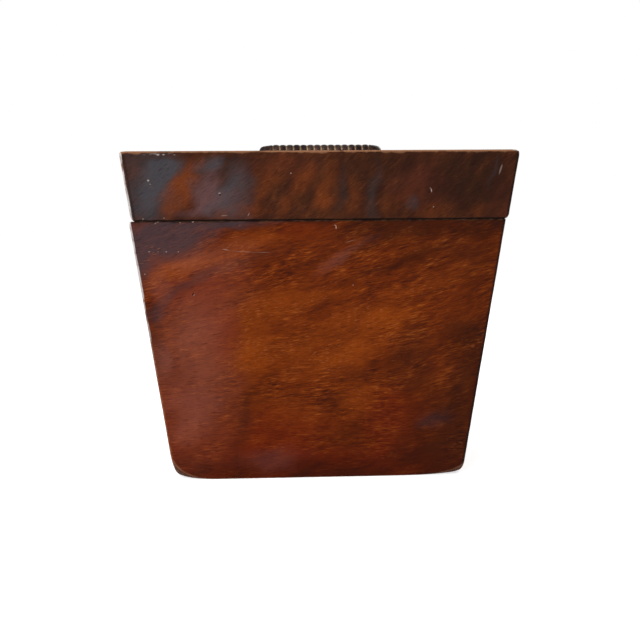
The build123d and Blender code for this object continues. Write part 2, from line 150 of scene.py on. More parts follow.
def linear(hex_colour):
    """An sRGB hex colour as linear red, green, blue and alpha."""
    shares = [int(hex_colour[i : i + 2], 16) / 255 for i in (1, 3, 5)]
    return [c / 12.92 if c <= 0.04045 else ((c + 0.055) / 1.055) ** 2.4 for c in shares] + [1.0]


def set_stops(elements, stops):
    """A colour ramp's stops from (place, hex colour) pairs."""
    while len(elements) < len(stops):
        elements.new(0.5)
    for element, (share, colour) in zip(elements, stops):
        element.position = share
        element.color = linear(colour)


def add(tree, kind, feeds=None, stops=None, **settings):
    """A node of that kind. Each feed is a number or name of an input, and a node, a socket or a value."""
    node = tree.nodes.new("ShaderNode" + kind)
    for name, value in settings.items():
        setattr(node, name, value)
    for name, value in (feeds or {}).items():
        by_name = [s for s in node.inputs if s.name == name and s.enabled]
        socket = node.inputs[name] if isinstance(name, int) else by_name[0]
        if isinstance(value, bpy.types.Node):
            value = next(s for s in value.outputs if s.enabled)
        if isinstance(value, bpy.types.NodeSocket):
            tree.links.new(value, socket)
        else:
            socket.default_value = value
    if stops:
        set_stops(node.color_ramp.elements, stops)
    return node


def new_tree(name):
    """An empty material and its node tree."""
    material = bpy.data.materials.new(name)
    material.use_nodes = True
    material.node_tree.nodes.clear()
    return material, material.node_tree


print("linear mid brown", [round(c, 3) for c in linear("#742F11")])

# %% [markdown]
# ## Room, floor and lamps
#
# The box stands on a plain pale floor in a white room. A floor that is lit to white would also light the
# box too much, so the floor and the room have two looks: what the camera, a reflection or glass sees is
# white, and what lights the box is plainer. The floor stays partly matt to the camera, so it keeps the soft
# shadow. A broad soft lamp stands in front on the left, one on the left rakes the worn edges, and one
# behind on the right lights the far sides.

# %% Floor and room
FLOOR_SIZE = 30.0
FLOOR_GLOW = 0.66
ROOM_LIGHT = 0.5


def seen_directly(tree):
    """1 for what the camera, a reflection or a refraction sees, and 0 for light on its way to a surface."""
    path = add(tree, "LightPath")
    seen = path.outputs["Is Camera Ray"]
    for other in ("Is Glossy Ray", "Is Transmission Ray"):
        seen = add(tree, "Math", {0: seen, 1: path.outputs[other]}, operation="MAXIMUM").outputs[0]
    return seen


floor_material, tree = new_tree("painted_floor")
matt = add(tree, "BsdfDiffuse", {"Color": linear("#E4E4E4")})
glow = add(tree, "Emission", {"Color": linear("#FFFFFF"), "Strength": FLOOR_GLOW})
lit = add(tree, "AddShader", {0: matt, 1: glow})
floor_shader = add(tree, "MixShader", {0: seen_directly(tree), 1: matt, 2: lit})
add(tree, "OutputMaterial", {"Surface": floor_shader})

half = FLOOR_SIZE / 2
floor_corners = [(-half, -half, 0), (half, -half, 0), (half, half, 0), (-half, half, 0)]
floor_mesh = bpy.data.meshes.new("floor")
floor_mesh.from_pydata(floor_corners, [], [(0, 1, 2, 3)])
floor_mesh.materials.append(floor_material)
floor = stand("floor", floor_mesh)

world = bpy.data.worlds.new("white_room")
world.use_nodes = True
bpy.context.scene.world = world
world.node_tree.nodes.clear()
dim = add(world.node_tree, "Background", {"Color": linear("#FFFFFF"), "Strength": ROOM_LIGHT})
white = add(world.node_tree, "Background", {"Color": linear("#FFFFFF"), "Strength": 1.0})
room = add(world.node_tree, "MixShader", {0: seen_directly(world.node_tree), 1: dim, 2: white})
add(world.node_tree, "OutputWorld", {"Surface": room})
bpy.context.scene.view_settings.view_transform = "Standard"
print("floor", FLOOR_SIZE, "m")

# %% Lamps
LAMPS = {  # place and size in metres, and power in watts
    "softbox_front": ((-0.7, -1.45, 1.0), 1.0, 15.0),
    "softbox_left": ((-1.5, -0.35, 0.55), 0.7, 10.0),
    "softbox_right_back": ((1.1, 1.2, 1.1), 1.0, 9.0),
}
LAMP_TARGET = (0.0, 0.0, 0.12)

for name, (place, size, power) in LAMPS.items():
    lamp = bpy.data.lights.new(name, "AREA")
    lamp.shape = "DISK"
    lamp.size = size
    lamp.energy = power
    back = Vector(place) - Vector(LAMP_TARGET)
    turn = back.to_track_quat("Z", "Y").to_matrix().to_4x4()
    stand(name, lamp).matrix_world = Matrix.Translation(place) @ turn
print("lamps", list(LAMPS))

# %% [markdown]
# ## Noise for shapes
#
# Hand work and age are never even. A worn edge is rounder here and sharper there, and sawn veneer is a
# little wavy. One function gives smooth noise for all of it, from a seeded table, so that it comes out the
# same every time, and another adds up layers of it about zero.

# %% Smooth noise
LATTICE = 64


def drift(x, y, size, seed):
    """Noise from 0 to 1: random heights on a lattice of that size in mm, blended by 3t² - 2t³."""
    table = np.random.default_rng(seed).random((LATTICE, LATTICE))
    u, v = np.broadcast_arrays(np.asarray(x) / size, np.asarray(y) / size)
    i, j = np.floor(u).astype(int), np.floor(v).astype(int)
    s, t = u - i, v - j
    s, t = s * s * (3 - 2 * s), t * t * (3 - 2 * t)
    corner = [table[(i + a) % LATTICE, (j + b) % LATTICE] for a, b in ((0, 0), (1, 0), (0, 1), (1, 1))]
    low, high = corner[0] * (1 - s) + corner[1] * s, corner[2] * (1 - s) + corner[3] * s
    return low * (1 - t) + high * t


def sway(x, y, layers, seed):
    """Noise about zero: layers of a lattice size in mm and a height, each with the next seed."""
    return sum(height * (drift(x, y, size, seed + k) - 0.5) for k, (size, height) in enumerate(layers))


print("noise at three places", drift(np.array([0.0, 5.0, 40.0]), 0.0, 10.0, 1).round(2))

# %% [markdown]
# ## Worn edges
#
# An arris on an old box is a quarter round of about a millimetre and a half, and of half that at the seam
# and the base, where hands and dusters have taken the polish and some of the veneer. Its radius wanders and
# jumps at a chip. Both faces that meet at an edge ask the same function for the radius, so they meet. Only
# the groove behind the lid has stayed sharper. A Bevel modifier would round a box's edges too, but evenly.
#
# The corners have lost more, those of the base most of all. At each height the plan is cut by a curve that
# meets both faces at a tangent, where the root of x over its reach plus the root of y over its reach is
# one, and the reach shrinks away from the corner.

# %% Radius of every edge
LEVEL_ARRIS = {"top": 1.4, "lid_seam": 0.6, "body_seam": 0.6, "base": 0.7}
UPRIGHT_ARRIS, GROOVE_ARRIS = 1.6, 0.25
EDGE_WANDER = 0.35  # share of the radius
EDGE_SWAY = ((9.0, 1.0), (3.5, 1.0))
CORNERS = ("left_front", "right_front", "left_back", "right_back")
LAPPING = ("front", "back")  # the sides whose veneer laps over the ends of the others
CHIPS = (  # level, x, y, half length, extra radius
    ("top", -99.0, -88.0, 8.0, 0.35),
    ("lid_seam", -104.0, -82.0, 3.0, 0.4),
    ("body_seam", -101.0, -82.0, 4.5, 0.35),
    ("body_seam", -84.0, -82.0, 2.0, 0.4),
    ("body_seam", -46.0, -82.0, 3.0, 0.3),
    ("top", 40.0, 88.0, 4.0, 0.5),
    ("top", 126.0, 20.0, 5.0, 0.5),
)


def near(distance, reach):
    """1 at no distance, falling as a bell to nothing past about twice the reach."""
    return np.exp(-((distance / reach) ** 2))


def level_radius(level, x, y):
    """Radius of a level edge at a place in plan: its mean, some wander, and more at a chip."""
    radius = LEVEL_ARRIS[level] * (1 + EDGE_WANDER * sway(x, y, EDGE_SWAY, 11))
    for where, chip_x, chip_y, half_length, extra in CHIPS:
        if where == level:
            radius = radius + extra * near(np.hypot(x - chip_x, y - chip_y), half_length)
    return radius


def upright_radius(corner, z):
    """Radius of an upright edge at height z."""
    seed = 20 + CORNERS.index(corner)
    return UPRIGHT_ARRIS * (1 + EDGE_WANDER * (drift(z, 0.0, 14.0, seed) + drift(z, 5.0, 4.0, seed) - 1))


def arc_depth(e, radius):
    """How far a quarter round of that radius has dropped at distance e from the edge."""
    inside = np.clip(radius - e, 0, radius)
    return radius - np.sqrt(radius**2 - inside**2)


def arc_start(radius):
    """Distance from the edge at which the quarter round is one veneer deep."""
    inside = np.clip(radius - VENEER, 0, None)
    return np.where(radius > VENEER, radius - np.sqrt(np.clip(radius**2 - inside**2, 0, None)), 0.0)


print("left front edge radius", upright_radius("left_front", np.array([20.0, 90.0, 170.0, 216.0])).round(2))

# %% Worn corners
WEAR = {  # height, way it goes from there, and how far it reaches along X, along Y and up or down
    "base": (0.0, 1, {
        "left_front": (38.0, 42.0, 27.0),
        "right_front": (60.0, 28.0, 14.0),
        "left_back": (11.0, 10.0, 6.0),
        "right_back": (13.0, 9.0, 5.5),
    }),
    "body_rim": (BODY_RIM, -1, {"left_front": (5.0, 18.0, 6.0), "right_front": (2.4, 6.0, 2.6)}),
    "lid_rim": (LID_RIM, 1, {"left_front": (7.0, 24.0, 8.0), "right_front": (6.0, 16.0, 7.0)}),
    "top": (HEIGHT, -1, {
        "left_front": (4.5, 16.0, 6.0),
        "right_front": (5.0, 16.0, 9.0),
        "left_back": (4.0, 5.0, 4.0),
        "right_back": (5.0, 4.0, 5.0),
    }),
}
LEVELS = {"body": ("base", "body_rim"), "lid": ("lid_rim", "top")}


def wear_reach(level, corner, side, z):
    """(along the face, into the face) that a worn corner reaches at height z."""
    height, way, corners = WEAR[level]
    reach_x, reach_y, reach_z = corners.get(corner, (0.0, 0.0, 1.0))
    share = (1 - np.sqrt(np.clip(way * (z - height) / reach_z, 0, 1))) ** 2
    along, into = (reach_x, reach_y) if side in LAPPING else (reach_y, reach_x)
    return along * share, into * share


def wear_depth(level, corner, side, z, e):
    """Depth of the wear at distance e along the face: into (1 - root of e over along) squared."""
    along, into = wear_reach(level, corner, side, z)
    share = np.clip(e / np.maximum(along, 1e-6), 0, 1)
    return into * (1 - np.sqrt(share)) ** 2


def wear_start(level, corner, side, z):
    """Distance along the face at which the wear is one veneer deep."""
    along, into = wear_reach(level, corner, side, z)
    return along * (1 - np.sqrt(VENEER / np.maximum(into, VENEER))) ** 2


print("wear at the base", wear_depth("base", "left_front", "front", 0.0, np.array([2.0, 9.0, 16.0])).round(2))

# %% [markdown]
# ## A sheet of veneer
#
# Each side is one sheet, a millimetre thick, laid on the carcase. Front and back run the full width and lap
# over the ends of the side sheets, and the top laps over all four. A sheet is a grid of points: along the
# side, and up it. Each point starts on the flat leaning plane and drops in by the edge rounds, combined as
# the root of the sum of their squares, by the corner's wear and by a slight waviness. The grid is close
# near the edges, where the shape turns, and coarse between. The back of the sheet is the plane one
# millimetre in.

# %% Numbers stored on a mesh, and its shading


def store(mesh, name, values):
    """A number at every point of a mesh, for its material to read."""
    attribute = mesh.attributes.new(name, "FLOAT", "POINT")
    attribute.data.foreach_set("value", values.astype(np.float32))


def shaded(name, mesh, crease):
    """A mesh stood in the scene, smooth but for edges that turn more than the crease in degrees."""
    mesh.shade_smooth()
    mesh.set_sharp_from_angle(angle=math.radians(crease))
    return stand(name, mesh)


print("meshes so far", len(bpy.data.meshes))

# %% A closed sheet from two grids
SIDES = {
    "front": ((0, -1), (1, 0), ("left_front", "right_front")),
    "back": ((0, 1), (-1, 0), ("right_back", "left_back")),
    "left": ((-1, 0), (0, -1), ("left_back", "left_front")),
    "right": ((1, 0), (0, 1), ("right_front", "right_back")),
}  # the way it faces, its right-hand way seen from outside, and the corners at its two ends
FINE_STEP, FINE_REACH, COARSE_STEP = 0.16, 2.4, 1.7
SHEET_EDGE = 0.02  # what is left of the sheet's thickness where an edge round runs out through it
SHEET_CREASE = 40


def spread(length):
    """Shares from 0 to 1 of a length, close together at both ends."""
    ends = np.arange(0, FINE_REACH, FINE_STEP)
    growing = FINE_REACH + np.array([0, 0.3, 0.8, 1.6]) * COARSE_STEP
    middle = np.linspace(growing[-1] + COARSE_STEP, length / 2, int(length / 2 / COARSE_STEP))
    half = np.concatenate([ends, growing, middle])
    return np.concatenate([half, length - half[-2::-1]]) / length


def slab(name, outer, inner, uv, fields):
    """A closed thin piece: the outer grid's faces, the inner grid's turned round, and a wall at the rim."""
    rows, columns = outer.shape[:2]
    count = rows * columns
    index = np.arange(count).reshape(rows, columns)
    corners = (index[:-1, :-1], index[:-1, 1:], index[1:, 1:], index[1:, :-1])
    faces = np.stack(corners, -1).reshape(-1, 4)
    rim = np.concatenate([index[0, :-1], index[:-1, -1], index[-1, :0:-1], index[:0:-1, 0]])
    wall = np.stack([np.roll(rim, -1), rim, rim + count, np.roll(rim, -1) + count], -1)
    every = np.concatenate([faces, faces[:, ::-1] + count, wall])
    mesh = bpy.data.meshes.new(name)
    points = np.concatenate([outer.reshape(-1, 3), inner.reshape(-1, 3)]) * MM
    mesh.from_pydata(points.tolist(), [], every.tolist())
    layer = mesh.uv_layers.new(name="grain")
    order = np.empty(len(mesh.loops), np.int32)
    mesh.loops.foreach_get("vertex_index", order)
    both = np.concatenate([uv.reshape(-1, 2)] * 2) * MM
    layer.data.foreach_set("uv", both[order].astype(np.float32).ravel())
    for key, values in fields.items():
        store(mesh, key, np.concatenate([values.ravel()] * 2))
    return shaded(name, mesh, SHEET_CREASE)


print("places across 250 mm", len(spread(250.0)))

# %% [markdown]
# ## Rubbed edges, dirt, and painted highlights and shade
#
# Dusters take the polish off an arris first and the stain next, and dirt gathers in the seam, where nobody
# wipes. This could be painted by hand on a picture. A number at every point of the mesh needs no picture,
# and it follows the edges as they were just shaped. One number says how bare the wood is, with a painted
# highlight where light falls on an edge; one holds a painted highlight down the left front edge and chalky
# chips at the top; and one holds the seam's dirt with painted shade in the seam and along the edges. The
# material reads all three.

# %% Where the edges are rubbed and where highlights and shade are painted
RUB_AND_HIGHLIGHT = {  # how bare an edge is rubbed and lit by a painted highlight, and how far in from it, in mm
    "top": (1.0, 1.5),
    "lid_seam": (0.15, 1.4),
    "body_seam": (0.3, 1.4),
    "base": (0.6, 0.9),
    "left_front": (0.55, 1.5),
    "right_front": (0.0, 0.8),
    "left_back": (0.6, 1.2),
    "right_back": (0.7, 1.3),
}
CORNER_SCUFF = 0.5  # the same for what a knock has left of the veneer round a corner


def rubbed_and_lit(e, edge, u, v):
    """How bare the wood is at distance e from an edge, with a painted highlight, and a reach that wanders."""
    bare, reach = RUB_AND_HIGHLIGHT[edge]
    wander = drift(u, v, 11.0, 51) + drift(u, v, 2.6, 52)
    fading = np.clip(1.3 - e / (reach * (0.35 + 0.65 * wander)), 0, 1)
    return bare * fading * np.clip(0.3 + 0.8 * wander, 0, 1)


def highlight_line_and_chips(part, side, ends, z, from_level):
    """A painted highlight line down the left front edge, and chalky chips along the top at the left."""
    if side != "front":
        return np.zeros_like(ends[0])
    wander = 1.5 + 0.7 * (drift(z, 0.0, 9.0, 53) - 0.5)
    # The line is a painted highlight of the left lamp on the round edge, fading towards the base.
    line = np.clip((wander - ends[0]) / 0.35, 0, 1) * np.clip((z - 50) / 90, 0.2, 1)
    line = line * np.clip(1.3 * drift(z, ends[0], 2.6, 57) + 0.3 * drift(z, 0.0, 12.0, 58), 0.25, 1)
    if part == "lid":
        chipped = near(from_level - 2.2, 0.8) * near(ends[0] - 26, 12.0)
        line = np.maximum(line, 0.8 * chipped * np.clip(6 * (drift(ends[0], z, 1.1, 54) - 0.5), 0, 1))
    return line


def dirt_and_painted_shade(part, side, ends, from_rim):
    """Black dirt and painted shade along the seam, fading down the case, painted shade down the right
    front edge, and a painted shadow line just inside the lid's left one."""
    wander = drift(ends[0], 0.0, 6.0, 55)
    dirt_shade = np.clip((0.85 + 0.35 * wander - from_rim) / 0.35, 0, 1)
    if part == "body":
        dirt_shade = np.maximum(dirt_shade, 0.4 * np.clip(1 - from_rim / 3.5, 0, 1) * wander)
    if side == "front" and part == "lid":
        # A painted shadow line just inside the lid's left edge.
        dirt_shade = np.maximum(dirt_shade, 0.6 * near(ends[0] - 2.6, 0.6))
    if side == "front":
        # Painted shade down the right front edge, which turns away from the lamps.
        dirt_shade = np.maximum(dirt_shade, 0.75 * np.clip((2.4 - ends[1]) / 1.2, 0, 1))
    return dirt_shade


print("rub at the top edge", rubbed_and_lit(np.array([0.0, 0.7, 1.4]), "top", 3.0, 0.0).round(2))

# %% [markdown]
# ## The seam
#
# Lid and case meet at a level seam, and the old veneer has swollen until the gap is all but shut. At the
# back both rims slope away from the hinge pins as a groove, which lets the lid turn, and there the veneer
# stays clear of the wood that stops the lid. The rim's height is one formula for both, so no cut is needed.

# %% Where the seam runs
GROOVE_INSET = half_depth(BODY_RIM) - PIVOT_Y
GROOVE_RISE = math.tan(math.radians(48))  # slope of each bevel
GROOVE_EASE = 0.14  # in the groove, the veneer stands this far short of the wood, which is the lid's stop
SEAM_CLOSE = 0.19  # how far each rim's veneer has swollen towards the other, so that no light shows
SWELL_START, SWELL_RUN = 1.8, 6.0  # where that starts in front of the groove, and how far it takes


def seam_height(part, inset):
    """Height of a part's rim at a level distance from the back: the rim, or the groove along the back."""
    out = GROOVE_RISE * np.clip(GROOVE_INSET - inset, 0, None)
    swollen = SEAM_CLOSE * np.clip((inset - GROOVE_INSET - SWELL_START) / SWELL_RUN, 0, 1)
    ease = np.where(swollen > 0, 0.0, GROOVE_EASE)
    if part == "lid":
        return np.maximum(LID_RIM - swollen, PIVOT_Z + ease + out / (1 - GROOVE_RISE * SLOPE))
    return np.minimum(BODY_RIM + swollen, PIVOT_Z - ease - out / (1 + GROOVE_RISE * SLOPE))


print("groove from %.2f to %.2f" % (seam_height("body", 0.0), seam_height("lid", 0.0)))

# %% Points of one side's sheet
WAVE, WAVE_FADE = 0.07, 6.0  # height of the waviness, and how far from an edge it is whole


def waviness(u, v, from_edge, seed):
    """Slow unevenness of a sheet's face, which dies away towards its edges."""
    uneven = drift(u, v, 38.0, seed) + 0.4 * drift(u, v, 14.0, seed + 1)
    return WAVE * uneven * np.clip(from_edge / WAVE_FADE, 0, 1)


def rim_inset(side, across, inset):
    """Level distance from the back at which a side's rim is read, on the plane that lies inset within."""
    full = 2 * half_depth(BODY_RIM)
    if side in LAPPING:
        return full if side == "front" else inset
    return VENEER + full * (1 - across if side == "right" else across)


def plane_grid(part, side, inset):
    """Places along a side and up it, on the plane that lies that far in, and the half length at each."""
    half_length = half_width if side in LAPPING else half_depth
    across = spread(2 * half_length(BODY_RIM))[None, :]
    low_z, high_z = (0.0, BODY_RIM) if part == "body" else (LID_RIM, HEIGHT - VENEER)
    up = spread(high_z - low_z)[:, None]
    rim = seam_height(part, rim_inset(side, across, inset))
    z = low_z + (rim - low_z) * up if part == "body" else rim + (high_z - rim) * up
    z = np.broadcast_to(z, (up.size, across.size))
    half = half_length(z)
    starts = []
    for corner in SIDES[side][2]:
        start = arc_start(upright_radius(corner, z)) if side in LAPPING else VENEER
        for level in LEVELS[part]:
            start = np.maximum(start, wear_start(level, corner, side, z))
        starts.append(start)
    return -half + starts[0] + (2 * half - starts[0] - starts[1]) * across, z, half


def side_sheet(part, side):
    """Outer and inner grids of one side's veneer, with where each point is on the face."""
    out, along, _ = SIDES[side]
    reach = half_depth if side in LAPPING else half_width
    s, z, half = plane_grid(part, side, 0.0)
    depth, fields = side_depth(part, side, s, z, half)
    outer = place(out, along, s, reach(z) - depth, z, SHIFT[part])
    s_in, z_in, _ = plane_grid(part, side, VENEER)
    inner = place(out, along, s_in, reach(z_in) - VENEER, z_in, SHIFT[part])
    return outer, inner, s, z, fields


def place(out, along, s, away, z, shift):
    """Points in the frame: along the side, out from the middle, and up."""
    x = along[0] * s + out[0] * away + shift
    y = along[1] * s + out[1] * away
    return np.stack([x, y, z], -1)


def side_depth(part, side, s, z, half):
    """How far each point drops in from the flat side, and how rubbed its edges are."""
    out, along, corners = SIDES[side]
    ends = (half + s, half - s)
    x = along[0] * s + out[0] * half_width(z)
    y = along[1] * s + out[1] * half_depth(z)
    squares = sum(arc_depth(e, upright_radius(c, z)) ** 2 for e, c in zip(ends, corners))
    if part == "lid":
        level, from_level = "top", HEIGHT - z
        rim, from_rim = "lid_seam", z - seam_line(part, side, half, s)
    else:
        level, from_level = "base", z
        rim, from_rim = "body_seam", seam_line(part, side, half, s) - z
    level_round = level_radius(level, x, y)
    rim_round = GROOVE_ARRIS if side == "back" else level_radius(rim, x, y)
    squares = squares + arc_depth(from_level, level_round) ** 2 + arc_depth(from_rim, rim_round) ** 2
    knocked = sum(wear_depth(w, c, side, z, e) for w in LEVELS[part] for e, c in zip(ends, corners))
    depth = np.sqrt(squares) + waviness(s, z, np.minimum(*ends), 31) + knocked
    # Bare wood with a painted highlight along the lit edges.
    rub_and_highlight = np.maximum(rubbed_and_lit(from_level, level, x, y), CORNER_SCUFF * np.clip(knocked / 0.4, 0, 1))
    rub_and_highlight = np.maximum(rub_and_highlight, rubbed_and_lit(from_rim, rim, x, y))
    for e, corner in zip(ends, corners):
        rub_and_highlight = np.maximum(rub_and_highlight, rubbed_and_lit(e, corner, z, 0.0))
    highlight_and_chips = highlight_line_and_chips(part, side, ends, z, from_level)
    # The grime number is seam dirt with painted shade; the other two are bare wood with painted highlights.
    fields = {"grime": dirt_and_painted_shade(part, side, ends, from_rim), "rub_and_highlight": rub_and_highlight, "highlight_and_chips": highlight_and_chips}
    return np.minimum(depth, VENEER - SHEET_EDGE), fields


def seam_line(part, side, half, s):
    """Height of the rim along a side, which the groove cuts at the back."""
    if side == "back":
        return seam_height(part, 0.0)
    if side == "front":
        return seam_height(part, 2 * half_depth(BODY_RIM))
    return seam_height(part, half - s if side == "right" else half + s)


outer, inner, s, z, fields = side_sheet("body", "front")
print("front sheet", outer.shape, "deepest", round(float((half_depth(z) + outer[..., 1]).max()), 2))

# %% [markdown]
# The top sheet is one level grid. Its plan has worn corners, so near a corner the square grid is drawn in:
# a point keeps its direction from the inner corner of its patch, and is pulled back so that the patch's
# outer edges land on the curve where the root of u plus the root of v is one. The sheet drops by the edge
# round of its distance to that outline, and by the corner's wear.

# %% Points of the top sheet
PLAN_ROUND = 1.7  # reach of the plain upright edge's round, as such a curve


def corner_pull(a, b):
    """Share kept of a point's way out from a patch's inner corner. With d the way over its larger part, S
    and D the sum and difference of d, the curve is met at t where D² t² + 2 S t = 3."""
    larger = np.maximum(np.maximum(a, b), 1e-9)
    total, apart = (a + b) / larger, (a - b) / larger
    square = np.maximum(apart**2, 1e-9)
    return (np.sqrt(total**2 + 3 * square) - total) / square


def top_sheet():
    """Outer and inner grids of the top's veneer."""
    wide, deep = half_width(HEIGHT), half_depth(HEIGHT)
    x = (2 * wide * spread(2 * wide) - wide)[None, :]
    y = (2 * deep * spread(2 * deep) - deep)[:, None]
    x, y = np.broadcast_arrays(x, y)
    corner = np.where(y < 0, np.where(x < 0, 0, 1), np.where(x < 0, 2, 3))
    reach = np.array([WEAR["top"][2][name] for name in CORNERS])[corner]
    share = (1 - np.sqrt(VENEER / reach[..., 2])) ** 2
    plan_x, plan_y = PLAN_ROUND + reach[..., 0] * share, PLAN_ROUND + reach[..., 1] * share
    radius = level_radius("top", x, y)
    start = arc_start(radius)
    from_x, from_y = wide - abs(x), deep - abs(y)
    from_x, from_y = start + from_x * (1 - start / wide), start + from_y * (1 - start / deep)
    a, b = np.clip(1 - from_x / plan_x, 0, 1), np.clip(1 - from_y / plan_y, 0, 1)
    inside = (a > 0) & (b > 0)
    pull = corner_pull(a, b)
    edge = np.where(inside, (1 - np.maximum(a, b)) * np.minimum(plan_x, plan_y), np.minimum(from_x, from_y))
    from_x = np.where(inside, plan_x * (1 - a * pull), from_x)
    from_y = np.where(inside, plan_y * (1 - b * pull), from_y)
    x, y = np.sign(x) * (wide - from_x), np.sign(y) * (deep - from_y)
    short = 1 - np.sqrt(from_x / reach[..., 0]) - np.sqrt(from_y / reach[..., 1])
    wear = reach[..., 2] * np.clip(short, 0, 1) ** 2
    depth = arc_depth(edge, radius) + wear + waviness(x, y, edge, 41)
    depth = np.minimum(depth, VENEER - SHEET_EDGE)
    outer = np.stack([x, y, HEIGHT - depth], -1)
    inner = np.stack([x, y, np.full_like(x, HEIGHT - VENEER)], -1)
    none = np.zeros_like(x)
    return outer, inner, x, y, {"grime": none, "rub_and_highlight": rubbed_and_lit(edge, "top", x, y), "highlight_and_chips": none}


outer, inner, s, t, fields = top_sheet()
print("top sheet", outer.shape, "corner at", outer[0, 0].round(2), outer[-1, -1].round(2))
